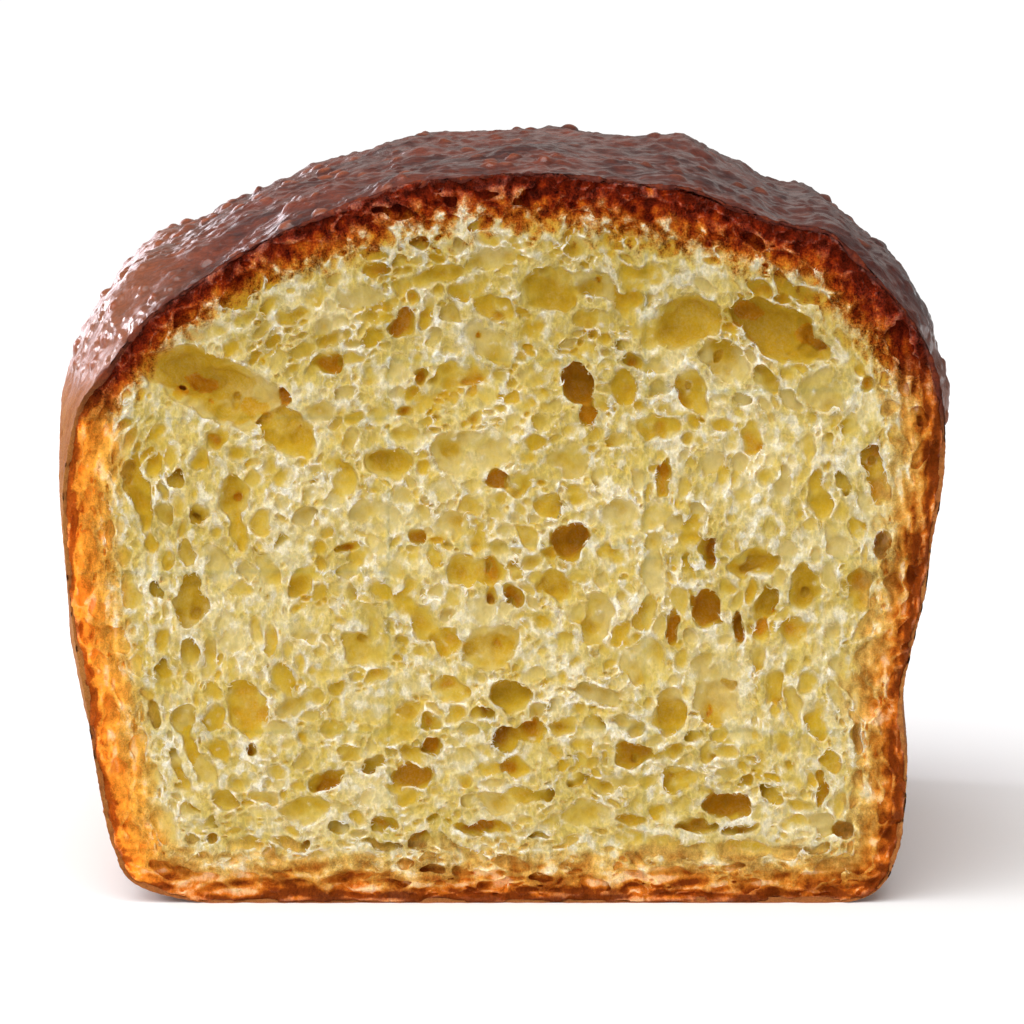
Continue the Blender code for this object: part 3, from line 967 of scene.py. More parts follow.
    @staticmethod
    def _crossings(solid: Array, cells: Array) -> Array:
        """The mean of the places where the surface crosses the edges of a cell.

        Args:
            solid: The volume, positive in the wall.
            cells: The cells that the surface crosses, one row of indices each.

        Returns:
            A point in each cell, in index units.
        """
        total = np.zeros((len(cells), 3))
        hits = np.zeros(len(cells))
        at = [solid[tuple((cells + corner).T)] for corner in CORNERS]
        for i, first in enumerate(CORNERS):
            for k, second in enumerate(CORNERS):
                if k <= i or sum(abs(p - q) for p, q in zip(first, second)) != 1:
                    continue
                fa, fb = at[i], at[k]
                crossed = (fa > 0) != (fb > 0)
                t = np.where(crossed, fa / np.where(crossed, fa - fb, 1.0), 0.0)
                step = np.array(second) - np.array(first)
                total += crossed[:, None] * (np.array(first) + t[:, None] * step)
                hits += crossed
        return cells + total / hits[:, None]

    @staticmethod
    def _faces(wall: Array, number: Array) -> Array:
        """Joins the four cells round each step from wall to air.

        Args:
            wall: True in the wall.
            number: The number of each cell's point.

        Returns:
            Quads that face the air.
        """
        quads = []
        for axis in range(3):
            one, two = [a for a in range(3) if a != axis]
            near = [slice(1, -1)] * 3
            near[axis] = slice(0, -1)
            far = list(near)
            far[axis] = slice(1, None)
            here, there = wall[tuple(near)], wall[tuple(far)]
            start = np.argwhere(here != there)
            outward = here[tuple(start.T)]
            start[:, one] += 1
            start[:, two] += 1
            ring = []
            for d1, d2 in ((1, 1), (0, 1), (0, 0), (1, 0)):
                at_cell = start.copy()
                at_cell[:, one] -= d1
                at_cell[:, two] -= d2
                ring.append(number[tuple(at_cell.T)])
            quad = np.column_stack(ring)
            turned = outward if axis == 1 else ~outward
            quad[turned] = quad[turned][:, ::-1]
            quads.append(quad)
        return np.vstack(quads)

    def surface_of(self, solid: Array) -> tuple[Array, Array]:
        """The volume's surface, one point in each cell that it crosses.

        Args:
            solid: Positive in the wall.

        Returns:
            Points in index units, and quads that face the air.
        """
        wall = solid > 0
        count = np.zeros(np.array(wall.shape) - 1, np.uint8)
        nx, ny, nz = count.shape
        for a, b, c in CORNERS:
            count += wall[a : a + nx, b : b + ny, c : c + nz]
        mixed = (count > 0) & (count < len(CORNERS))
        cells = np.argwhere(mixed)
        number = np.full(count.shape, -1, np.int32)
        number[mixed] = np.arange(len(cells))
        return self._crossings(solid, cells), self._faces(wall, number)

    @staticmethod
    def eased(points: Array, quads: Array, rounds: int, share: float) -> Array:
        """Moves each point towards the mean of its neighbours.

        Args:
            points: The points.
            quads: The quads that join them.
            rounds: How often.
            share: How far each time, from 0 to 1.

        Returns:
            The eased points.
        """
        ends = np.vstack([quads[:, [0, 1]], quads[:, [1, 2]], quads[:, [2, 3]], quads[:, [3, 0]]])
        a = np.concatenate([ends[:, 0], ends[:, 1]])
        b = np.concatenate([ends[:, 1], ends[:, 0]])
        near = np.bincount(a, minlength=len(points)).astype(float)
        near[near == 0] = 1.0
        for _ in range(rounds):
            mean = np.column_stack([
                np.bincount(a, weights=points[b, k], minlength=len(points)) / near for k in range(3)
            ])
            points = points + share * (mean - points)
        return points

    def _values_at(self, points: Array, solid: Array) -> dict[str, Array]:
        """What the crumb's finish needs to know at each point.

        Args:
            points: The points, in index units.
            solid: The volume, positive in the wall.

        Returns:
            Under, the distance inside the crust; open and keen, how much air is close round the point;
            hollow_shade, how much wall is further round it, which sets the painted shade of the deep cells;
            share, the place along the crust; tone, its cell's own shade; strand, noise that runs as the
            crumb does; dip, how far it lies behind the rims.
        """
        wall = (solid > 0).astype(np.float32)
        close, closest, far = (sample(box_blur(wall, reach), points) for reach in self.looks)
        columns = tuple(points[:, [0, 2]].astype(int).T)
        rims = np.argmax(solid > 0, axis=1).astype(np.float32)
        shifts = range(-self.level_reach, self.level_reach + 1)
        for axis in (0, 1):
            rims = np.min([np.roll(rims, shift, axis) for shift in shifts], axis=0)
        level = box_blur(box_blur(rims[:, None, :], self.level_reach), self.level_reach)[:, 0, :]
        strands = self._strands(self.strand_grain)
        return {
            "under": sample(self.under, points),
            "open": 1.0 - close,
            "keen": 1.0 - closest,
            "hollow_shade": far,
            "share": self.share[columns],
            "tone": self.tone[columns],
            "strand": sample(strands[:, None, :], points * [1.0, 0.0, 1.0]),
            "dip": (points[:, 1] - level[columns]) * self.pitch,
        }

    def _trimmed(self, points: Array, quads: Array, values: dict[str, Array]) -> Surface:
        """Leaves out what lies under the crust or at the volume's back.

        Args:
            points: The points, in section millimetres.
            quads: The quads that join them.
            values: The points' values.

        Returns:
            The surface that is left, which also knows how far its points are behind the cut.
        """
        back = points[quads, 1].mean(axis=1)
        under_crust = values["under"][quads].mean(axis=1) < self.hidden_under
        hidden = (under_crust & (back > self.hidden_from)) | (back > self.deep - self.hidden_back)
        used, quads = renumbered(quads[~hidden], len(points))
        points = points[used]
        values = {name: value[used] for name, value in values.items()}
        values["behind"] = points[:, 1]
        return Surface(points, quads, point_normals(points, quads), values)

    def build(self) -> Surface:
        """Opens all cells and makes the crumb's surface.

        Returns:
            The surface with its values.
        """
        self.open_known_cells()
        self.fill_with_cells()
        self.open_inner_cells()
        solid = self.solid_field()
        self.close_hidden_air(solid)
        points, quads = self.surface_of(solid)
        values = self._values_at(points, solid)
        points = self.origin + self.pitch * self.eased(points, quads, self.ease_rounds, self.ease_share)
        surface = self._trimmed(points, quads, values)
        LOG.info("crumb: %d points, %d quads", len(surface.points), len(surface.quads))
        return surface


# ---------------------------------------------------------------------------------------------
# Nodes
# ---------------------------------------------------------------------------------------------


class Wire:
    """A value's socket, used as a number in an expression."""

    def __init__(self, bench: "Bench", socket: bpy.types.NodeSocket) -> None:
        """Keeps the socket and the bench that adds its nodes."""
        self.bench = bench
        self.socket = socket

    def _math(self, operation: str, *values: "Wire | float") -> "Wire":
        """One Math node on these values."""
        sockets = dict(enumerate(values))
        return self.bench.add("ShaderNodeMath", {"operation": operation}, sockets)[0]

    def __add__(self, other: "Wire | float") -> "Wire":
        """Sum."""
        return self._math("ADD", self, other)

    def __radd__(self, other: float) -> "Wire":
        """Sum."""
        return self._math("ADD", other, self)

    def __sub__(self, other: "Wire | float") -> "Wire":
        """Difference."""
        return self._math("SUBTRACT", self, other)

    def __rsub__(self, other: float) -> "Wire":
        """Difference from a number."""
        return self._math("SUBTRACT", other, self)

    def __mul__(self, other: "Wire | float") -> "Wire":
        """Product."""
        return self._math("MULTIPLY", self, other)

    def __rmul__(self, other: float) -> "Wire":
        """Product."""
        return self._math("MULTIPLY", other, self)

    def __truediv__(self, other: "Wire | float") -> "Wire":
        """Quotient."""
        return self._math("DIVIDE", self, other)

    def __rtruediv__(self, other: float) -> "Wire":
        """A number divided by this."""
        return self._math("DIVIDE", other, self)

    def __pow__(self, other: "Wire | float") -> "Wire":
        """Power."""
        return self._math("POWER", self, other)

    def span(self, low: float, high: float) -> "Wire":
        """Eases from 0 at low to 1 at high, which may be the smaller."""
        settings = {"interpolation_type": "SMOOTHSTEP", "clamp": True}
        if low < high:
            return self.bench.add("ShaderNodeMapRange", settings, {"Value": self, 1: low, 2: high})[0]
        return 1.0 - self.span(high, low)

    def size(self) -> "Wire":
        """The value without its sign."""
        return self._math("ABSOLUTE", self)

    def most(self, other: "Wire | float") -> "Wire":
        """The larger of two."""
        return self._math("MAXIMUM", self, other)

    def least(self, other: "Wire | float") -> "Wire":
        """The smaller of two."""
        return self._math("MINIMUM", self, other)


def opaque(colour: Any) -> Any:
    """A plain colour with its alpha; a wire stays as it is."""
    return (*colour, 1.0) if isinstance(colour, tuple) else colour


class Bench:
    """Adds nodes to one shader or geometry tree."""

    def __init__(self, tree: bpy.types.NodeTree) -> None:
        """Keeps the tree."""
        self.tree = tree

    def add(
        self, kind: str, settings: dict[str, Any] | None = None, sockets: dict[Any, Any] | None = None
    ) -> list[Wire]:
        """Adds a node.

        Args:
            kind: The node's type.
            settings: Its properties; "stops" gives a ramp's places and colours.
            sockets: Values or wires of its inputs, by name or number.

        Returns:
            A wire for each output that is in use, in order.
        """
        node = self.tree.nodes.new(kind)
        for name, value in (settings or {}).items():
            if name == "stops":
                self._set_ramp(node.color_ramp, value)
            else:
                setattr(node, name, value)
        for key, value in (sockets or {}).items():
            socket = node.inputs[key]
            if isinstance(value, Wire):
                self.tree.links.new(value.socket, socket)
            elif isinstance(value, bpy.types.NodeSocket):
                self.tree.links.new(value, socket)
            else:
                socket.default_value = value
        return [Wire(self, out) for out in node.outputs if out.enabled]

    @staticmethod
    def _set_ramp(ramp: bpy.types.ColorRamp, stops: tuple[tuple[float, tuple[float, ...]], ...]) -> None:
        """Sets a ramp's stops."""
        while len(ramp.elements) < len(stops):
            ramp.elements.new(1.0)
        for element, (place, colour) in zip(ramp.elements, stops):
            element.position = place
            element.color = (*colour, 1.0)

    def value(self, name: str) -> Wire:
        """A point value of the mesh, in a shader."""
        return self.add("ShaderNodeAttribute", {"attribute_name": name})[2]

    def stored(self, name: str) -> Wire:
        """A point value of the mesh, in a geometry tree."""
        return self.add("GeometryNodeInputNamedAttribute", {"data_type": "FLOAT"}, {"Name": name})[0]

    def stretched(self, spot: Wire, factor: Triple | Wire) -> Wire:
        """A vector times a factor for each axis."""
        return self.add("ShaderNodeVectorMath", {"operation": "MULTIPLY"}, {0: spot, 1: factor})[0]

    def shrunk(self, spot: Wire, size: Wire | float) -> Wire:
        """A vector divided by one length."""
        return self.add("ShaderNodeVectorMath", {"operation": "SCALE"}, {0: spot, "Scale": 1.0 / size})[0]

    def place(self, scale: Triple = (1.0, 1.0, 1.0)) -> Wire:
        """The place on the object in millimetres, stretched by a scale."""
        spot = self.add("ShaderNodeTexCoord")[3]
        factor = tuple(s / MM for s in scale)
        return self.add("ShaderNodeVectorMath", {"operation": "MULTIPLY"}, {0: spot, 1: factor})[0]

    def noise(self, spot: Wire, size: float, detail: float = 2.0, rough: float = 0.55) -> Wire:
        """Noise from 0 to 1.

        Args:
            spot: Where it is taken, in millimetres.
            size: Size of a lump, in millimetres.
            detail: How many finer layers it has.
            rough: How strong the finer layers are.

        Returns:
            The noise.
        """
        sockets = {"Vector": spot, "Scale": 1.0 / size, "Detail": detail, "Roughness": rough}
        return self.add("ShaderNodeTexNoise", {}, sockets)[0]

    def noises(self, spot: Wire, *kinds: Enum) -> list[Wire]:
        """Some of a finish's named noises at one place."""
        return [self.noise(spot, *kind.value) for kind in kinds]

    @staticmethod
    def lines(noise: Wire, sharp: float) -> Wire:
        """Thin lines of 1 where a noise is at its middle, thinner the sharper they are."""
        return (1.0 - ((noise - 0.5) * sharp).size()).most(0.0)

    def mix(self, share: Wire | float, first: Any, second: Any, blend: str = "MIX") -> Wire:
        """Mixes two colours."""
        settings = {"data_type": "RGBA", "blend_type": blend, "clamp_factor": True}
        return self.add("ShaderNodeMix", settings, {0: share, 6: opaque(first), 7: opaque(second)})[0]

    def times(self, colour: Wire, factor: Wire) -> Wire:
        """A colour made brighter or darker."""
        return self.mix(1.0, colour, factor, "MULTIPLY")

    def ramp(self, share: Wire, stops: tuple[tuple[float, tuple[float, ...]], ...]) -> Wire:
        """A colour from stops."""
        return self.add("ShaderNodeValToRGB", {"stops": stops}, {0: share})[0]

    def bump(self, height: Wire, millimetres: float, after: Wire | None = None) -> Wire:
        """A bump.

        Args:
            height: How high the surface seems, from 0 to 1.
            millimetres: What a height of 1 stands for.
            after: The normal of a bump below this one.

        Returns:
            The normal.
        """
        sockets: dict[Any, Any] = {"Height": height, "Strength": 1.0, "Distance": millimetres * MM}
        if after is not None:
            sockets["Normal"] = after
        return self.add("ShaderNodeBump", {}, sockets)[0]


def new_material(name: str) -> tuple[bpy.types.Material, Bench, bpy.types.Node]:
    """A material with its bench and its Principled shader.

    Args:
        name: The material's name.

    Returns:
        The material, a bench on its tree, and the shader node.
    """
    material = bpy.data.materials.new(name)
    material.use_nodes = True
    return material, Bench(material.node_tree), material.node_tree.nodes["Principled BSDF"]


def feed(bench: Bench, shader: bpy.types.Node, sockets: dict[str, Any]) -> None:
    """Sets or links a shader's sockets.

    Args:
        bench: The bench of the shader's tree.
        shader: The shader node.
        sockets: Values or wires by socket name.
    """
    for name, value in sockets.items():
        if isinstance(value, Wire):
            bench.tree.links.new(value.socket, shader.inputs[name])
        else:
            shader.inputs[name].default_value = value


# ---------------------------------------------------------------------------------------------
# Finishes
# ---------------------------------------------------------------------------------------------

Colour = Triple


class CrumbNoise(Enum):
    """Noises of the crumb: size of a lump in millimetres, detail and roughness."""

    SPECK = (0.32, 2.0, 0.70)
    PATCH = (4.0, 1.0, 0.55)
    FIBRE = (0.70, 3.0, 0.70)
    DIMPLE = (0.80, 2.0, 0.65)
    EDGE = (2.4, 2.0, 0.55)
    FILM = (1.7, 3.0, 0.65)
    HAIR = (1.5, 2.0, 0.50)
    SHRED = (2.4, 2.0, 0.60)
    CLOUD = (8.0, 2.0, 0.55)
    DUST = (0.22, 2.0, 0.75)
    THREAD = (0.95, 2.0, 0.50)
    GRAIN = (0.28, 1.0, 0.70)
    WOOL = (0.60, 2.0, 0.60)


class CrustNoise(Enum):
    """Noises of the crust: size of a lump in millimetres, detail and roughness."""

    BROAD = (9.0, 5.0, 0.65)
    STREAK = (1.3, 5.0, 0.70)
    SCRATCH = (0.55, 4.0, 0.65)
    DUST = (0.22, 3.0, 0.75)
    MOTTLE = (13.0, 5.0, 0.60)
    FLECK = (1.6, 4.0, 0.65)
    RIM = (1.6, 3.0, 0.55)
    SHINE = (1.8, 4.0, 0.70)


@dataclass(frozen=True)
class CrumbFinish:
    """Buttery crumb: pale rims with painted highlights, yellow walls, deep cells golden and darker as painted
    shade, and the browned band under the crust.
    """

    # torn: pale torn crumb, with a painted highlight for the glints on its wet rims
    torn: Colour = (0.86, 0.82, 0.70)
    web: Colour = (0.575, 0.428, 0.105)
    pale: Colour = (0.610, 0.498, 0.225)
    film: Colour = (0.575, 0.445, 0.165)
    floor: Colour = (0.60, 0.425, 0.070)
    # painted shade: the deeper the wall, the more golden and darker, for the light it loses
    shaded_gold: Colour = (0.565, 0.350, 0.018)
    hollow_shade: Colour = (0.53, 0.208, 0.001)
    cave_shade: Colour = (0.50, 0.285, 0.010)
    crown_band: tuple[tuple[float, Colour], ...] = (
        (0.00, (0.090, 0.008, 0.002)),
        (0.15, (0.150, 0.012, 0.002)),
        (0.32, (0.250, 0.036, 0.003)),
        (0.56, (0.380, 0.112, 0.008)),
        (0.80, (0.510, 0.225, 0.022)),
        (1.00, (0.630, 0.430, 0.100)),
    )
    left_band: tuple[tuple[float, Colour], ...] = (
        (0.00, (0.480, 0.090, 0.008)),
        (0.06, (0.860, 0.270, 0.024)),
        (0.28, (0.820, 0.320, 0.036)),
        (0.60, (0.700, 0.370, 0.060)),
        (1.00, (0.680, 0.500, 0.160)),
    )
    side_band: tuple[tuple[float, Colour], ...] = (
        (0.00, (0.220, 0.040, 0.004)),
        (0.12, (0.440, 0.110, 0.009)),
        (0.26, (0.560, 0.220, 0.028)),
        (0.50, (0.590, 0.345, 0.078)),
        (1.00, (0.630, 0.465, 0.135)),
    )
    band_reach: float = 9.0
    dipped: Pair = (0.16, 0.70)
    upward: Triple = (1.0, 1.0, 0.6)
    grain_depth: float = 0.24
    wool_depth: float = 0.40
    light_reach: Triple = (0.80, 0.46, 0.08)

    def build(self, name: str, soft: float) -> bpy.types.Material:
        """The crumb's material.

        Args:
            name: The material's name.
            soft: How much light goes through it, from 0 to 1.

        Returns:
            The material.
        """
        material, bench, shader = new_material(name)
        shader.subsurface_method = "BURLEY"
        spot = bench.place()
        n, value = CrumbNoise, bench.value
        speck, patch, fibre, dimple = bench.noises(spot, n.SPECK, n.PATCH, n.FIBRE, n.DIMPLE)
        edge, shred, cloud, film = bench.noises(spot, n.EDGE, n.SHRED, n.CLOUD, n.FILM)
        dust, wool, grain = bench.noises(spot, n.DUST, n.WOOL, n.GRAIN)
        hair, thread = bench.noises(bench.place(self.upward), n.HAIR, n.THREAD)
        keen, crown, behind, strand = (value(key) for key in ("keen", "crown", "behind", "strand"))
        dip = value("dip") + (dimple - 0.5) * 0.5
        # golden is how recessed a point is; it brings in the walls' colours and their painted shade
        golden = dip.span(*self.dipped).most(behind.span(1.1, 1.8))

        # how far under the crust, with painted shade: hollows count as nearer it and brown more, rims stay
        # paler
        lift = (keen - 0.5) * 2.6 + (fibre - 0.5) * 2.4 - 0.6 * golden + strand
        lift = lift + (speck - 0.5) * (1.2 + 2.8 * crown)
        left = value("left") * (1.0 - crown)
        aside, _, high = bench.add("ShaderNodeSeparateXYZ", {}, {0: spot})
        uneven = ((edge - 0.5) * 2.6 + lift) * (1.0 - 0.5 * left)
        under = value("under") * (1.0 + 0.55 * crown * aside.span(-10.0, -44.0)) + uneven
        toast = (under - 0.4) / self.band_reach
        side = bench.mix(left, bench.ramp(toast, self.side_band), bench.ramp(toast, self.left_band))
        band = bench.mix(crown, side, bench.ramp(toast, self.crown_band))
        inner = under.span(0.50 * self.band_reach, 0.95 * self.band_reach)

        # torn rims and hairs, nearly white: pale torn crumb and a painted highlight for its glints
        strand = strand + (fibre - 0.5) * 1.2
        ridge = keen + (fibre - 0.5) * 0.16
        hair = bench.lines(hair, 10.0)
        shred = (shred + 0.2 * strand).span(0.42, 0.70)
        torn = ridge.span(0.53, 0.67).most(0.45 * hair.most(strand.span(0.4, 1.1)) * (1.0 - golden))
        torn = torn * (0.22 + 0.78 * shred) * (0.68 + 0.32 * speck.span(0.36, 0.64)) * behind.span(2.6, 0.7)

        # walls: the web between the cells, then the cells' floors, the deeper the more golden: a painted
        # shade
        light = cloud + 0.5 * (patch - 0.5) + 0.12 * strand
        web = bench.mix(light.span(0.36, 0.64), self.web, self.pale)
        tone = value("tone") + (film - 0.5) * 1.5 + (cloud - 0.5) * 3.0
        wall = bench.mix(tone.span(0.0, 1.3) * 0.9, self.floor, self.film)
        wall = bench.mix((dip - 0.5 * tone).span(0.30, 1.4), wall, self.shaded_gold)
        # painted shade in the deep cells, by their depth and by how much wall closes round them
        hollow_shade = bench.mix(value("tone").span(-0.5, 0.1), self.hollow_shade, self.cave_shade)
        deep = (behind.span(1.1, 2.7) + value("hollow_shade").span(0.62, 0.88)).least(1.0)
        wall = bench.mix(deep * (1.0 - 0.5 * tone.span(0.0, 1.0)), wall, hollow_shade)
        wall = bench.mix(golden * (0.90 + 0.8 * (speck - 0.5)), web, wall)
        colour = bench.mix(inner, band, wall)
        frayed = strand.span(0.5, 1.3) * (1.0 - inner) * (1.0 - crown) * under.span(1.4, 3.4)
        # painted highlight: the nearly white torn colour on the rims and frayed strands
        colour = bench.mix(torn * (0.06 + 0.94 * inner) + 0.20 * frayed, colour, self.torn)

        # fine unevenness, coarser in the browned band; the inner crumb a little darker, more so towards the
        # top of the cut
        thread = bench.lines(thread, 8.0)
        smooth_share = 1.0 - 0.6 * (1.0 - inner) * (1.0 - crown)
        fibres = 0.60 * strand.span(-1.0, 1.2) - 0.30 + 0.30 * smooth_share * (thread - 0.25)
        rough_share = (1.0 - inner) * (0.25 + 0.75 * crown)
        grit = (dust - 0.5) * (0.4 + 2.2 * rough_share) + (speck - 0.5) * (0.1 + 0.8 * rough_share)
        grit = grit + 0.26 * smooth_share * (thread - 0.3) + (1.0 - inner) * fibres
        shade = 1.0 + grit * (1.0 - 0.7 * golden * inner) + 0.35 * (cloud - 0.5)
        colour = bench.times(colour, shade - (0.06 + 0.10 * high.span(58.0, 84.0)) * inner)

        # plain point values here: a bump works its height out three times, so noise in it costs much
        rough = 1.0 - 0.80 * value("dip").span(*self.dipped)
        rough = rough * (1.0 - 0.5 * value("under").span(4.5, 8.5))
        normal = bench.bump(wool * rough, self.wool_depth)
        normal = bench.bump(grain * rough, self.grain_depth, normal)
        feed(bench, shader, {
            "Base Color": colour,
            "Roughness": 0.60 - 0.2 * torn,
            "Coat Weight": 0.25 * torn * inner,
            "Coat Roughness": 0.22,
            "Specular IOR Level": 0.02,
            "Subsurface Weight": soft,
            "Subsurface Scale": MM,
            "Subsurface Radius": self.light_reach,
            "Normal": normal,
        })
        return material


@dataclass(frozen=True)
class CrustFinish:
    """Egg-washed crown and plain baked sides."""

    dark: Colour = (0.048, 0.010, 0.007)
    warm: Colour = (0.185, 0.031, 0.010)
    blister: Colour = (0.280, 0.062, 0.018)
    hem: Colour = (0.085, 0.010, 0.004)
    edge: Colour = (0.240, 0.036, 0.006)
    flank: Colour = (0.360, 0.105, 0.030)
    side: Colour = (0.440, 0.170, 0.034)
    side_dark: Colour = (0.290, 0.085, 0.017)
    side_pale: Colour = (0.540, 0.250, 0.064)
    scratch_shape: Triple = (0.35, 1.0, 0.7)
    streak_shape: Triple = (0.25, 1.0, 0.6)
    scratch_depth: float = 0.22
    streak_depth: float = 0.20

    def build(self) -> bpy.types.Material:
        """The crust's material."""
        material, bench, shader = new_material("crust")
        spot = bench.place()
        n = CrustNoise
        broad, mottle, fleck, ragged = bench.noises(spot, n.BROAD, n.MOTTLE, n.FLECK, n.RIM)
        shine, dust = bench.noises(spot, n.SHINE, n.DUST)
        (streak,) = bench.noises(bench.place(self.streak_shape), n.STREAK)
        (scratch,) = bench.noises(bench.place(self.scratch_shape), n.SCRATCH)
        crown, raised = bench.value("crown"), bench.value("raised")
        aside, back, high = bench.add("ShaderNodeSeparateXYZ", {}, {0: spot})

        # the glaze: dark to warm in broad clouds and streaks, a painted shade on the right, tan down the
        # sides
        glazed = bench.mix(broad.span(0.34, 0.68), self.dark, self.warm)
        glazed = bench.mix(streak.span(0.46, 0.68) * 0.65, glazed, self.warm)
        glazed = bench.mix(streak.span(0.46, 0.28) * 0.70, glazed, self.dark)
        # painted shade: darker on the right, the side away from the light
        glazed = bench.mix(aside.span(12.0, 52.0) * 0.7, glazed, self.dark)
        down = (crown.span(1.0, 0.35) * 0.7).most(high.span(80.0, 62.0) * 0.4)
        glazed = bench.mix(down, glazed, self.flank)
        glazed = bench.mix(aside.span(-34.0, -55.0) * 0.6, glazed, self.flank)
        shown = raised.span(0.10, 0.8) * (0.40 + 0.55 * aside.span(20.0, -30.0))
        glazed = bench.mix(shown, glazed, self.blister)

        # the bare sides: mottled, toasted round the foot and the heel, with painted shade in the pores
        bare = bench.mix(mottle.span(0.30, 0.68), self.side_dark, self.side)
        bare = bench.mix(fleck.span(0.44, 0.80) * 0.6, bare, self.side_pale)
        # painted shade: darker in the pores
        bare = bench.mix(bench.value("sunk").span(0.05, 0.7) * 0.6, bare, self.side_dark)
        corner = high.span(13.0, 0.0).most(back.span(30.0, 56.0)) + (mottle - 0.5) * 1.5
        bare = bench.mix(corner.span(0.2, 1.0) * 0.65, bare, self.side_dark)

        # the knife's edge
        rim = bench.value("behind") + (ragged - 0.5) * 2.4
        near = rim.span(3.4, 0.6)
        glazed = bench.mix(rim.span(3.2, 0.4) * 0.8, glazed, self.hem)
        glazed = bench.mix(rim.span(0.6, -0.2) * 0.8, glazed, self.edge)
        colour = bench.mix(crown, bare, glazed)
        shade = 1.0 + (0.3 + crown) * (scratch - 0.5) + 1.7 * (dust - 0.5)
        gloss = 0.45 + 0.55 * (shine + 0.5 * (streak - 0.5)).span(0.42, 0.60)
        gloss = gloss * (1.0 - 0.9 * near)
        feed(bench, shader, {
            "Base Color": bench.times(colour, shade),
            "Roughness": 0.78 - 0.38 * crown + 0.45 * near * crown,
            "Coat Weight": crown.span(0.70, 1.0) * gloss * (0.3 + 0.7 * high.span(62.0, 79.0)),
            "Coat Roughness": 0.17,
            "Specular IOR Level": 0.24,
            "Normal": bench.bump(scratch, self.scratch_depth, bench.bump(streak, self.streak_depth)),
        })
        return material


@dataclass(frozen=True)
class FloorFinish:
    """Plain pale floor."""

    colour: Colour = (0.92, 0.92, 0.92)

    def build(self) -> bpy.types.Material:
        """The floor's material."""
        material, bench, shader = new_material("floor")
        feed(bench, shader, {
            "Base Color": opaque(self.colour),
            "Roughness": 0.9,
            "Specular IOR Level": 0.1,
            "Emission Color": (1.0, 1.0, 1.0, 1.0),
            "Emission Strength": 0.05,
        })
        return material


# ---------------------------------------------------------------------------------------------
# Meshes
# ---------------------------------------------------------------------------------------------


def linked(name: str, data: bpy.types.ID) -> bpy.types.Object:
    """A new object on this data, in the scene."""
    obj = bpy.data.objects.new(name, data)
    bpy.context.scene.collection.objects.link(obj)
    return obj


def object_of(
    name: str, points: Array, quads: Array, normals: Array | None, values: dict[str, Array], uv: Array | None
) -> bpy.types.Object:
    """A mesh object with its own normals, point values and UV map.

    Args:
        name: The piece's name.
        points: Points in metres, in the frame.
        quads: Faces of four points, or of three with -1 as the fourth.
        normals: Point normals, or None for the faces' own.
        values: One float for each point, by name.
        uv: A place for each point on the piece's own map, or None.

    Returns:
        The object, linked to the scene.
    """
    mesh = bpy.data.meshes.new(name)
    mesh.vertices.add(len(points))
    mesh.vertices.foreach_set("co", np.ascontiguousarray(points, np.float32).ravel())
    corners = quads[quads >= 0].astype(np.int32)
    sides = (quads >= 0).sum(axis=1).astype(np.int32)
    mesh.loops.add(len(corners))
    mesh.loops.foreach_set("vertex_index", corners)
    mesh.polygons.add(len(quads))
    mesh.polygons.foreach_set("loop_start", (np.cumsum(sides) - sides).astype(np.int32))
    mesh.polygons.foreach_set("loop_total", sides)
    mesh.update(calc_edges=True)
    mesh.validate()
    for key, value in values.items():
        mesh.attributes.new(key, "FLOAT", "POINT").data.foreach_set("value", value.astype(np.float32))
    if uv is not None:
        layer = mesh.uv_layers.new(name=OWN_UV)
        corner = np.zeros(len(mesh.loops), np.int32)
        mesh.loops.foreach_get("vertex_index", corner)
        layer.data.foreach_set("uv", uv[corner].astype(np.float32).ravel())
    mesh.shade_smooth()
    if normals is not None:
        mesh.normals_split_custom_set_from_vertices(normals.astype(np.float32))
    return linked(name, mesh)


def front_map(points: Array) -> Array:
    """Where points in section millimetres lie on the crumb's own map."""
    return points[:, [0, 2]] / MAP_WIDTH + MAP_START


def part_of(surface: Surface, chosen: Array) -> Surface:
    """The part of a surface that these quads make.

    Args:
        surface: The whole.
        chosen: True for each quad that is taken.

    Returns:
        A surface with the whole's normals.
    """
    used, quads = renumbered(surface.quads[chosen], len(surface.points))
    values = {name: value[used] for name, value in surface.values.items()}
    return Surface(surface.points[used], quads, surface.normals[used], values)


def region_values(share: Array) -> dict[str, Array]:
    """How much a point belongs to the crown and to the left side.

    Args:
        share: Places along the side curve, from 0 to 1, or -1 on the base.

    Returns:
        The values crown and left.
    """
    crown = smooth((share - CROWN_FROM) / CROWN_FADE) * smooth((CROWN_TO - share) / CROWN_FADE)
    left = smooth((LEFT_TO - share) / LEFT_FADE_OUT) * smooth((share - LEFT_FROM) / LEFT_FADE_IN)
    return {"crown": crown, "left": left}


def ride_as(obj: bpy.types.Object, material: bpy.types.Material) -> None:
    """Gives a piece its material in a slot and its body, and hides the imported part that it stands for.

    Args:
        obj: The piece.
        material: Its material.
    """
    obj.data.materials.clear()
    obj.data.materials.append(material)
    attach(obj, BODY)
    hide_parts(NODE)


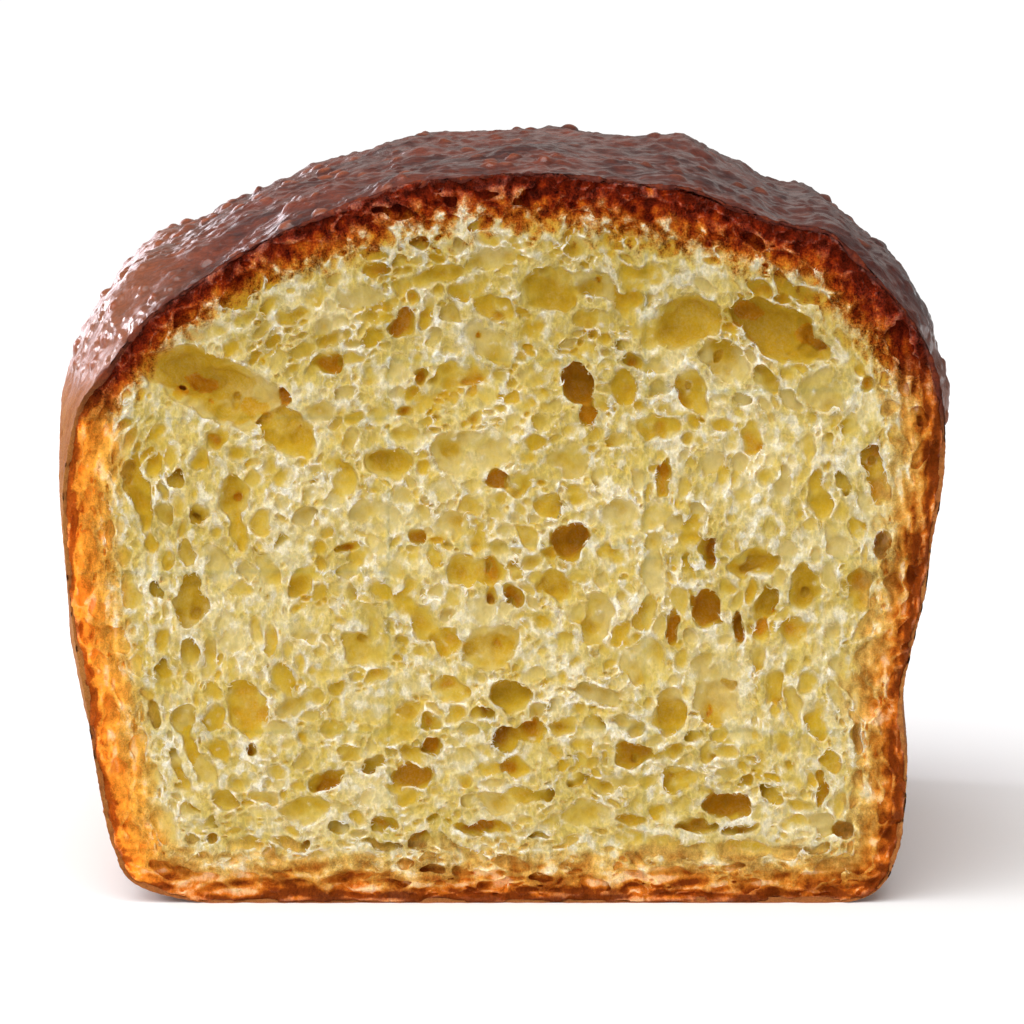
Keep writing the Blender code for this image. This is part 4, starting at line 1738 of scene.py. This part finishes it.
@dataclass
class Crumb:
    """The crumb's pieces: the foam's surface in blocks."""

    foam: CrumbFoam
    shreds: CrumbShreds
    columns: tuple[str, ...] = ("left", "middle", "right")
    rows: tuple[str, ...] = ("foot", "low", "high", "crown")

    def build(self, finish: CrumbFinish) -> list[bpy.types.Object]:
        """Builds and dresses the pieces.

        Args:
            finish: The crumb's finish.

        Returns:
            The pieces.
        """
        surface = self.foam.build()
        surface.values.update(region_values(surface.values.pop("share")))
        material = finish.build("crumb", 0.7)
        middle = surface.points[surface.quads].mean(axis=1)
        pieces = []
        columns = self._blocks(middle[:, 0], len(self.columns))
        for i, column in enumerate(self.columns):
            inside = columns == i
            rows = self._blocks(middle[inside, 2], len(self.rows))
            for k, row in enumerate(self.rows):
                chosen = np.zeros(len(middle), bool)
                chosen[np.flatnonzero(inside)[rows == k]] = True
                part = part_of(surface, chosen)
                # the faces in front come last, so that a bake on this map keeps their colour
                part.quads = part.quads[np.argsort(-part.points[part.quads, 1].mean(axis=1))]
                points = self.foam.form.placed(part.points)
                name = f"crumb_{row}_{column}"
                uv = front_map(part.points)
                obj = object_of(name, points, part.quads, part.normals, part.values, uv)
                ride_as(obj, material)
                LOG.info("%s: %d quads", name, len(part.quads))
                pieces.append(obj)
        pieces.append(self.shreds.scatter(surface, self.foam.form, finish.build("crumb shreds", 0.0)))
        return pieces

    @staticmethod
    def _blocks(places: Array, count: int) -> Array:
        """Numbers the places by blocks that hold equally many."""
        edges = np.quantile(places, np.linspace(0, 1, count + 1)[1:-1])
        return np.searchsorted(edges, places)


def tree_for(name: str, sizes: Any) -> tuple[Bench, dict[str, Wire]]:
    """Starts a geometry tree with an input for each field of a dataclass, and one for the material.

    Args:
        name: The tree's name.
        sizes: The dataclass.

    Returns:
        A bench on the tree, and the inputs by name.
    """
    tree = bpy.data.node_groups.new(name, "GeometryNodeTree")
    face = tree.interface
    face.new_socket("Geometry", in_out="INPUT", socket_type="NodeSocketGeometry")
    for item in fields(sizes):
        kind = "NodeSocketInt" if item.name == "seed" else "NodeSocketFloat"
        face.new_socket(item.name, in_out="INPUT", socket_type=kind)
    face.new_socket("material", in_out="INPUT", socket_type="NodeSocketMaterial")
    face.new_socket("Geometry", in_out="OUTPUT", socket_type="NodeSocketGeometry")
    bench = Bench(tree)
    return bench, {wire.socket.name: wire for wire in bench.add("NodeGroupInput") if wire.socket.name}


def finish_tree(bench: Bench, geometry: Wire, material: Wire) -> bpy.types.GeometryNodeTree:
    """Ends a geometry tree.

    Args:
        bench: The tree's bench.
        geometry: What the tree made, realized here.
        material: The material that it gets.

    Returns:
        The tree.
    """
    real = bench.add("GeometryNodeRealizeInstances", {}, {"Geometry": geometry})[0]
    done = bench.add("GeometryNodeSetMaterial", {}, {"Geometry": real, "Material": material})[0]
    bench.add("NodeGroupOutput", {}, {"Geometry": done})
    return bench.tree


def grown_on(
    obj: bpy.types.Object, tree: bpy.types.GeometryNodeTree, sizes: Any, material: bpy.types.Material
) -> bpy.types.Mesh:
    """Runs a geometry tree on an object.

    Args:
        obj: The object, which is taken away.
        tree: The tree.
        sizes: The dataclass that fills its inputs.
        material: What its material input gets.

    Returns:
        A plain mesh.
    """
    modifier = obj.modifiers.new(tree.name, "NODES")
    modifier.node_group = tree
    for item in tree.interface.items_tree:
        if item.in_out == "INPUT" and item.name in asdict(sizes):
            modifier[item.identifier] = getattr(sizes, item.name)
        elif item.name == "material":
            modifier[item.identifier] = material
    graph = bpy.context.evaluated_depsgraph_get()
    mesh = bpy.data.meshes.new_from_object(obj.evaluated_get(graph))
    bpy.data.objects.remove(obj)
    return mesh


def mesh_values(mesh: bpy.types.Mesh, names: tuple[str, ...]) -> dict[str, Array]:
    """Reads point values of a mesh.

    Args:
        mesh: The mesh.
        names: The names of the values.

    Returns:
        The values by name.
    """
    values = {}
    for name in names:
        values[name] = np.zeros(len(mesh.vertices), np.float32)
        mesh.attributes[name].data.foreach_get("value", values[name])
    return values


def mesh_points(mesh: bpy.types.Mesh) -> Array:
    """Reads a mesh's points."""
    points = np.zeros(3 * len(mesh.vertices), np.float32)
    mesh.vertices.foreach_get("co", points)
    return points.reshape(-1, 3)


@dataclass(frozen=True)
class CrumbShreds:
    """Torn fibres and flakes on the crumb's rims: how many on a square millimetre, and sizes in mm."""

    crowd: float = 3.0
    length: float = 0.95
    width: float = 0.12
    arch: float = 0.10
    bend: float = 0.16
    lift: float = 0.05
    seed: int = 3
    strip_points: ClassVar[int] = 10
    front_until: ClassVar[float] = 2.0
    # where they grow: open rims, clear of the crust and near the cut
    on_open: ClassVar[Pair] = (0.52, 0.62)
    on_under: ClassVar[Pair] = (2.5, 6.0)
    on_behind: ClassVar[Pair] = (1.7, 0.9)
    paler: ClassVar[float] = 0.02
    least_width: ClassVar[float] = 0.2
    # the least and most turn and scale on each axis
    turns: ClassVar[tuple[tuple[float, ...], ...]] = ((-0.35, -0.25, 0.0), (0.35, 0.25, math.tau))
    scales: ClassVar[tuple[tuple[float, ...], ...]] = ((0.35, 0.6, 0.4), (1.3, 1.8, 1.8))

    def tree(self) -> bpy.types.GeometryNodeTree:
        """Makes the tree that scatters the shreds.

        Returns:
            A tree with an input for each size, the seed and the material.
        """
        bench, start = tree_for("crumb shreds", self)
        grid = {0: 1.0, 1: 1.0, 2: self.strip_points // 2, 3: 2}
        strip = bench.add("GeometryNodeMeshGrid", {}, grid)[0]
        spot = bench.add("GeometryNodeInputPosition")[0]
        along, across = bench.add("ShaderNodeSeparateXYZ", {}, {0: spot})[:2]
        bow = 1.0 - (along * 2.0) ** 2.0
        breadth = self.least_width + (1.0 - self.least_width) * bow
        y = across * start["width"] * breadth + start["bend"] * bow
        shape = {0: along * start["length"] * MM, 1: y * MM, 2: (start["arch"] * bow + start["lift"]) * MM}
        place = bench.add("ShaderNodeCombineXYZ", {}, shape)[0]
        strip = bench.add("GeometryNodeSetPosition", {}, {"Geometry": strip, "Position": place})[0]
        rims = bench.stored("open").span(*self.on_open) * bench.stored("under").span(*self.on_under)
        density = start["crowd"] * (1 / MM) ** 2 * rims * bench.stored("behind").span(*self.on_behind)
        sockets = {"Mesh": start["Geometry"], "Density": density, "Seed": start["seed"]}
        scattered = bench.add("GeometryNodeDistributePointsOnFaces", {"distribute_method": "RANDOM"}, sockets)
        raised = {"Geometry": scattered[0], "Name": "open", "Value": bench.stored("open") + self.paler}
        points = bench.add("GeometryNodeStoreNamedAttribute", {"data_type": "FLOAT"}, raised)[0]
        vector = {"data_type": "FLOAT_VECTOR"}
        random = "FunctionNodeRandomValue"
        turns = {0: self.turns[0], 1: self.turns[1], "Seed": start["seed"] + 1.0}
        turn = bench.add(random, vector, turns)[0]
        turn = bench.add("FunctionNodeEulerToRotation", {}, {0: turn})[0]
        laid = {"Rotation": scattered[2], "Rotate By": turn}
        laid = bench.add("FunctionNodeRotateRotation", {"rotation_space": "LOCAL"}, laid)[0]
        sizes = {0: self.scales[0], 1: self.scales[1], "Seed": start["seed"] + 2.0}
        size = bench.add(random, vector, sizes)[0]
        sockets = {"Points": points, "Instance": strip, "Rotation": laid, "Scale": size}
        strips = bench.add("GeometryNodeInstanceOnPoints", {}, sockets)[0]
        return finish_tree(bench, strips, start["material"])

    def scatter(self, surface: Surface, form: LoafForm, material: bpy.types.Material) -> bpy.types.Object:
        """Scatters the shreds over a surface.

        Args:
            surface: The crumb's surface.
            form: The loaf, to place them by.
            material: The crumb's material.

        Returns:
            The shreds as one piece.
        """
        front = surface.points[surface.quads][:, :, 1].mean(axis=1) < self.front_until
        part = part_of(surface, front)
        placed = form.placed(part.points)
        ground = object_of("crumb_shreds", placed, part.quads, part.normals, part.values, None)
        mesh = grown_on(ground, self.tree(), self, material)
        points = mesh_points(mesh)
        quads = np.zeros(4 * len(mesh.polygons), np.int32)
        mesh.loops.foreach_get("vertex_index", quads)
        values = mesh_values(mesh, tuple(part.values))
        bpy.data.meshes.remove(mesh)
        uv = front_map(points / MM - form.shift)
        obj = object_of("crumb_shreds", points, quads.reshape(-1, 4), None, values, uv)
        LOG.info("crumb_shreds: %d strips", len(points) // self.strip_points)
        ride_as(obj, material)
        return obj


@dataclass(frozen=True)
class CrustRelief:
    """The crust's own relief, in millimetres: blisters and wrinkles of the glaze, lumps, and pores."""

    lump_height: float = 1.40
    lump_size: float = 8.0
    blister_height: float = 0.55
    blister_size: float = 3.3
    bubble_height: float = 0.20
    bubble_size: float = 1.4
    wrinkle_height: float = 0.20
    wrinkle_size: float = 1.1
    pore_depth: float = 0.28
    pore_size: float = 2.1
    sinking: float = 0.32
    shoulder: float = 1.1
    rag_height: float = 0.60
    rag_size: float = 1.3
    seed: int = 5
    # where its parts begin and end, in millimetres: over the base, across the loaf and behind the cut
    off_base: ClassVar[Pair] = (0.6, 5.0)
    crowded_left: ClassVar[Pair] = (5.0, -30.0)
    dip_right: ClassVar[tuple[Pair, Pair]] = ((32.0, 39.0), (45.0, 40.0))
    swell_right: ClassVar[Pair] = (44.0, 51.0)
    flat_left: ClassVar[Pair] = (-26.0, -38.0)
    swell_over: ClassVar[Pair] = (70.0, 79.0)
    swell_behind: ClassVar[Pair] = (1.0, 9.0)
    full_behind: ClassVar[Pair] = (0.2, 1.6)
    rag_behind: ClassVar[Pair] = (1.6, 0.1)
    # how far the seed moves the pattern across and behind, and how much longer wrinkles run across
    seed_steps: ClassVar[Pair] = (37.0, 11.0)
    wrinkle_along: ClassVar[float] = 5.0

    def _dome(self, bench: Bench, spot: Wire, size: Wire, share: float, radius: float) -> Wire:
        """Round domes scattered over a surface.

        Args:
            bench: The bench of the geometry tree.
            spot: The place in millimetres.
            size: Mean distance from one dome to the next.
            share: How many of the places hold a dome, from 0 to 1.
            radius: Radius of a dome, as a share of the size.

        Returns:
            The height over the surface, from 0 to 1.
        """
        cells = bench.add("ShaderNodeTexVoronoi", {}, {"Vector": bench.shrunk(spot, size), "Scale": 1.0})
        away, chance = cells[0], cells[1]
        kept = chance.span(0.52 + 0.3 * (0.5 - share), 0.60 + 0.3 * (0.5 - share))
        reach = radius * (0.55 + 0.9 * chance)
        inside = (1.0 - (away / reach) ** 2.0).most(0.0)
        return kept * inside**0.75

    def tree(self) -> bpy.types.GeometryNodeTree:
        """Makes the tree that raises the relief.

        Returns:
            A tree with an input for each size, the seed and the material.
        """
        bench, start = tree_for("crust relief", self)
        steps = {axis: start["seed"] * step for axis, step in enumerate(self.seed_steps)}
        offset = bench.add("ShaderNodeCombineXYZ", {}, steps)[0]
        place = bench.stretched(bench.add("GeometryNodeInputPosition")[0], (1 / MM, 1 / MM, 1 / MM))
        spot = bench.add("ShaderNodeVectorMath", {"operation": "ADD"}, {0: place, 1: offset})[0]
        height = bench.add("ShaderNodeSeparateXYZ", {}, {0: place})[2]
        crown = bench.stored("crown")
        behind = bench.stored("behind")
        lifted = height.span(*self.off_base)

        def rough(size: Wire, detail: float, along: float = 1.0) -> Wire:
            """Noise of -0.5 to 0.5 with lumps of a size, longer across the loaf."""
            stretched = bench.stretched(spot, (1.0 / along, 1.0, 1.0))
            return bench.noise(bench.shrunk(stretched, size), 1.0, detail) - 0.5

        lumps = start["lump_height"] * rough(start["lump_size"], 2.0) * 2.0
        across = bench.add("ShaderNodeSeparateXYZ", {}, {0: place})[0]
        to_left = across.span(*self.crowded_left)
        crowd = (rough(start["lump_size"] * 2.1, 2.0) + to_left * 0.2).span(-0.16, 0.10)
        blisters = self._dome(bench, spot, start["blister_size"], 0.28, 0.32) * (0.25 + 0.75 * crowd)
        bubbles = self._dome(bench, spot, start["bubble_size"], 0.60, 0.42) * (0.30 + 0.70 * crowd)
        wrinkles = rough(start["wrinkle_size"], 4.0, self.wrinkle_along) * 2.0
        pores = self._dome(bench, spot, start["pore_size"], 0.45, 0.30)
        grown = start["blister_height"] * blisters + start["bubble_height"] * bubbles
        glaze = grown + start["wrinkle_height"] * wrinkles
        plain = start["wrinkle_height"] * rough(start["wrinkle_size"] * 0.8, 4.0) * 1.6
        plain = plain - start["pore_depth"] * (pores + 0.4 * bubbles)
        total = lumps * (0.25 + 0.75 * crown) + crown * glaze + (1.0 - crown) * plain
        from_left, from_right = self.dip_right
        dip = across.span(*from_left) * across.span(*from_right)
        swell = across.span(*self.swell_right) - dip - 0.6 * across.span(*self.flat_left)
        swell = swell * height.span(*self.swell_over) * behind.span(*self.swell_behind)
        total = total + crown * (start["shoulder"] * swell - start["sinking"])
        total = total * lifted * (0.70 + 0.30 * behind.span(*self.full_behind))
        rag = start["rag_height"] * rough(start["rag_size"], 3.0) * 2.0
        total = total + rag * behind.span(*self.rag_behind) * lifted
        normal = bench.add("GeometryNodeInputNormal")[0]
        shift = bench.add("ShaderNodeVectorMath", {"operation": "SCALE"}, {0: normal, "Scale": total * MM})[0]
        moved = bench.add("GeometryNodeSetPosition", {}, {"Geometry": start["Geometry"], "Offset": shift})[0]
        marks = {"raised": blisters.most(0.35 * bubbles) * crown, "sunk": pores * (1.0 - crown)}
        for name, value in marks.items():
            sockets = {"Geometry": moved, "Name": name, "Value": value}
            moved = bench.add("GeometryNodeStoreNamedAttribute", {"data_type": "FLOAT"}, sockets)[0]
        return finish_tree(bench, moved, start["material"])


@dataclass
class Crust:
    """The skin over the body: glazed crown, baked sides, base and heel."""

    form: LoafForm
    relief: CrustRelief = CrustRelief()
    side_points: int = 1000
    base_points: int = 120
    fine_step: float = 0.33
    fine_until: float = 30.0
    step: float = 0.6
    straight_until: float = 66.0
    heel_rings: int = 120
    start: float = 0.05
    lip: float = 0.65
    rag: float = 0.16
    lip_back: float = 1.1
    rag_step: float = 0.9
    rag_waves: tuple[Triple, ...] = ((1.0, 2.3, 0.0), (1.0, 0.9, 1.0), (0.8, 5.3, 2.0))
    rag_fades: tuple[float, ...] = (1.0, 1.0, 0.7, 0.4, 0.15)
    # the glaze ends at the tin's edge: its height on the left and the right, and how it wanders
    tin_line: Pair = (65.5, 61.0)
    tin_width: float = 80.0
    tin_line_waves: tuple[Triple, ...] = ((1.2, 9.0, 0.0), (0.8, 2.9, 1.0))
    glaze_edge: float = 8.0
    # shares of the side curve where the crown's two pieces begin, meet and end
    crown_shares: Triple = (0.265, 0.5, 0.745)
    map_rim: float = 0.01
    base_map_width: float = 120.0
    heel_samples: int = 4000

    def stations(self) -> Array:
        """Distances of the rings behind the cut, close where the camera sees them best."""
        fine = np.arange(self.start + self.fine_step, self.fine_until, self.fine_step)
        wide = np.arange(self.fine_until, self.straight_until, self.step)
        begin, power = self.form.heel_sides
        shrink = np.cos(np.linspace(0.0, math.pi / 2, self.heel_samples))
        heel = self.form.half_length - begin * (1.0 - (1.0 - shrink**power) ** (1.0 / power))
        inward = np.diff(shrink, prepend=1.0) * self.form.cut_width / 2
        run = np.cumsum(np.hypot(np.diff(heel, prepend=heel[0]), inward))
        first = np.interp(self.straight_until + self.step, heel, run)
        heel = np.interp(np.linspace(first, run[-1], self.heel_rings), run, heel)
        return np.concatenate([[self.start, self.start], fine, wide, heel])

    def _skin(self) -> Surface:
        """The smooth skin with a ragged front edge and one point at the heel's middle.

        Returns:
            The skin, with the place of each point along the side curve and from front to heel.
        """
        ring = self.form.ring(self.side_points, self.base_points)
        y = self.stations()
        points = self.form.surface(ring, y)
        inward = np.stack([-ring.normals[:, 0], np.zeros(len(ring.normals)), -ring.normals[:, 1]], axis=-1)
        ragged = waved(np.arange(len(ring.points)) * self.rag_step, self.rag_waves)
        fade = np.array(self.rag_fades)[:, None]
        points[: len(fade), :, 1] += self.rag * fade * np.abs(ragged)
        points[0] += self.lip * inward
        points[0, :, 1] += self.lip_back * self.lip
        rows, count = points.shape[:2]
        index = np.arange(rows * count).reshape(rows, count)
        index[-1] = index[-1, 0]
        nearer, farther = index[:-1], index[1:]
        quads = np.stack([nearer, np.roll(nearer, -1, 1), np.roll(farther, -1, 1), farther], axis=-1)
        quads[-1, :, 3] = -1
        flat = points.reshape(-1, 3)[: (rows - 1) * count + 1]
        quads = quads.reshape(-1, 4)
        share = np.tile(ring.share, rows)[: len(flat)]
        left, right = self.tin_line
        line = left + (right - left) * smooth(0.5 + flat[:, 0] / self.tin_width)
        line += waved(flat[:, 1], self.tin_line_waves)
        crown = smooth((flat[:, 2] - line) / self.glaze_edge + 0.5)
        spread = np.repeat(np.linspace(self.map_rim, 1.0 - self.map_rim, rows), count)[: len(flat)]
        values = {"share": share, "behind": flat[:, 1], "crown": crown, "spread": spread}
        return Surface(flat, quads, point_normals(flat, quads), values)

    def build(self, finish: CrustFinish) -> list[bpy.types.Object]:
        """Builds and dresses the pieces.

        Args:
            finish: The crust's finish.

        Returns:
            The pieces.
        """
        surface = self._skin()
        share = surface.values.pop("share")
        spread = surface.values.pop("spread")
        material = finish.build()
        placed = self.form.placed(surface.points)
        smooth_skin = object_of("crust", placed, surface.quads, surface.normals, surface.values, None)
        mesh = grown_on(smooth_skin, self.relief.tree(), self.relief, material)
        surface.points = mesh_points(mesh) / MM - self.form.shift
        surface.values.update(mesh_values(mesh, ("raised", "sunk")))
        bpy.data.meshes.remove(mesh)
        surface.normals = point_normals(surface.points, surface.quads)
        around = share[surface.quads[:, :3]]
        place = np.where(around.min(axis=1) < 0, -1.0, around.mean(axis=1))
        names = ("crust_left", "crust_crown_left", "crust_crown_right", "crust_right")
        region = np.where(place < 0, -1, np.searchsorted(self.crown_shares, place, side="right"))
        parts = {"crust_base": region < 0, **{name: region == i for i, name in enumerate(names)}}
        across = np.where(share < 0, 0.5 + surface.points[:, 0] / self.base_map_width, share)
        surface.values["across"] = across
        surface.values["spread"] = spread
        pieces = []
        room = 1.0 - 2 * self.map_rim
        for name, chosen in parts.items():
            part = part_of(surface, chosen)
            u, v = part.values.pop("across"), part.values.pop("spread")
            uv = np.column_stack([self.map_rim + room * (u - u.min()) / (u.max() - u.min()), v])
            obj = object_of(name, self.form.placed(part.points), part.quads, part.normals, part.values, uv)
            ride_as(obj, material)
            LOG.info("%s: %d faces", name, len(part.quads))
            pieces.append(obj)
        return pieces


# ---------------------------------------------------------------------------------------------
# The studio
# ---------------------------------------------------------------------------------------------


def facing(direction: Vector) -> Euler:
    """The turn of a camera or a light that looks in a direction."""
    return direction.to_track_quat("-Z", "Y").to_euler()


@dataclass
class Softbox:
    """One area light: where it is and what it looks at in millimetres, its size and power."""

    name: str
    at: Triple
    towards: Triple
    size: Pair
    power: float
    colour: Colour = (1.0, 1.0, 1.0)


SHOULDER = (-50.0, 0.0, 70.0)
RIDGE = (0.0, 0.0, 80.0)


@dataclass
class Studio:
    """Camera, lights, world and floor."""

    form: LoafForm
    camera_back: float = 700.0
    camera_height: float = 141.0
    target: Pair = (1.2, 51.7)
    frame_width: float = 133.0
    sensor: float = 36.0
    sky: float = 0.22
    day: float = 3.3
    day_from: Triple = (-0.25, -0.50, 0.83)
    day_spread: float = 75.0
    floor_half_width: float = 4.0
    camera_reach: Pair = (0.01, 50.0)
    boxes: tuple[Softbox, ...] = (
        Softbox("shoulder", (-520.0, 260.0, 300.0), SHOULDER, (150.0, 150.0), 1.3, (0.95, 0.93, 1.0)),
        Softbox("window", (-330.0, 520.0, 130.0), SHOULDER, (320.0, 320.0), 0.90, (0.97, 0.90, 0.98)),
        Softbox("backlight", (60.0, 700.0, 330.0), RIDGE, (900.0, 260.0), 0.16, (1.0, 0.78, 0.68)),
    )

    def build(self) -> None:
        """Sets up everything."""
        self._camera()
        self._world()
        self._daylight()
        for box in self.boxes:
            self._light(box)
        self._floor()
        scene = bpy.context.scene
        scene.view_settings.view_transform = "Standard"
        scene.view_settings.look = "None"

    def _camera(self) -> None:
        """The camera, at the photo's angle."""
        cut = self.form.shift[1]
        place = Vector((0.0, cut - self.camera_back, self.camera_height)) * MM
        target = Vector((self.target[0], cut, self.target[1])) * MM
        data = bpy.data.cameras.new("camera")
        data.sensor_width = self.sensor
        data.lens = self.sensor * (target - place).length / (self.frame_width * MM)
        data.clip_start, data.clip_end = self.camera_reach
        camera = linked("camera", data)
        camera.location = place
        camera.rotation_euler = facing(target - place)
        bpy.context.scene.camera = camera

    def _world(self) -> None:
        """Even white surroundings."""
        world = bpy.data.worlds.new("studio")
        world.use_nodes = True
        colour, strength = world.node_tree.nodes["Background"].inputs[:2]
        colour.default_value = (1.0, 1.0, 1.0, 1.0)
        strength.default_value = self.sky
        bpy.context.scene.world = world

    def _daylight(self) -> None:
        """Wide soft light from the upper left in front, even over the whole floor."""
        data = bpy.data.lights.new("daylight", "SUN")
        data.energy = self.day
        data.angle = math.radians(self.day_spread)
        linked("daylight", data).rotation_euler = facing(-Vector(self.day_from))

    @staticmethod
    def _light(box: Softbox) -> None:
        """One softbox."""
        data = bpy.data.lights.new(box.name, "AREA")
        data.shape = "RECTANGLE"
        data.size, data.size_y = (side * MM for side in box.size)
        data.energy = box.power
        data.color = box.colour
        light = linked(box.name, data)
        light.location = Vector(box.at) * MM
        light.rotation_euler = facing((Vector(box.towards) - Vector(box.at)) * MM)

    def _floor(self) -> None:
        """The floor that the loaf stands on."""
        half = self.floor_half_width
        mesh = bpy.data.meshes.new("floor")
        corners = [(-half, -half, 0.0), (half, -half, 0.0), (half, half, 0.0), (-half, half, 0.0)]
        mesh.from_pydata(corners, [], [(0, 1, 2, 3)])
        mesh.materials.append(FloorFinish().build())
        floor = linked("floor", mesh)


def main() -> None:
    """Builds the loaf and the studio."""
    logging.basicConfig(level=logging.INFO, format="%(name)s: %(message)s")
    form = LoafForm()
    form.settle_on(*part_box(NODE))
    Studio(form).build()
    Crust(form).build(CrustFinish())
    Crumb(CrumbFoam(form), CrumbShreds()).build(CrumbFinish())


if __name__ == "__main__":
    main()
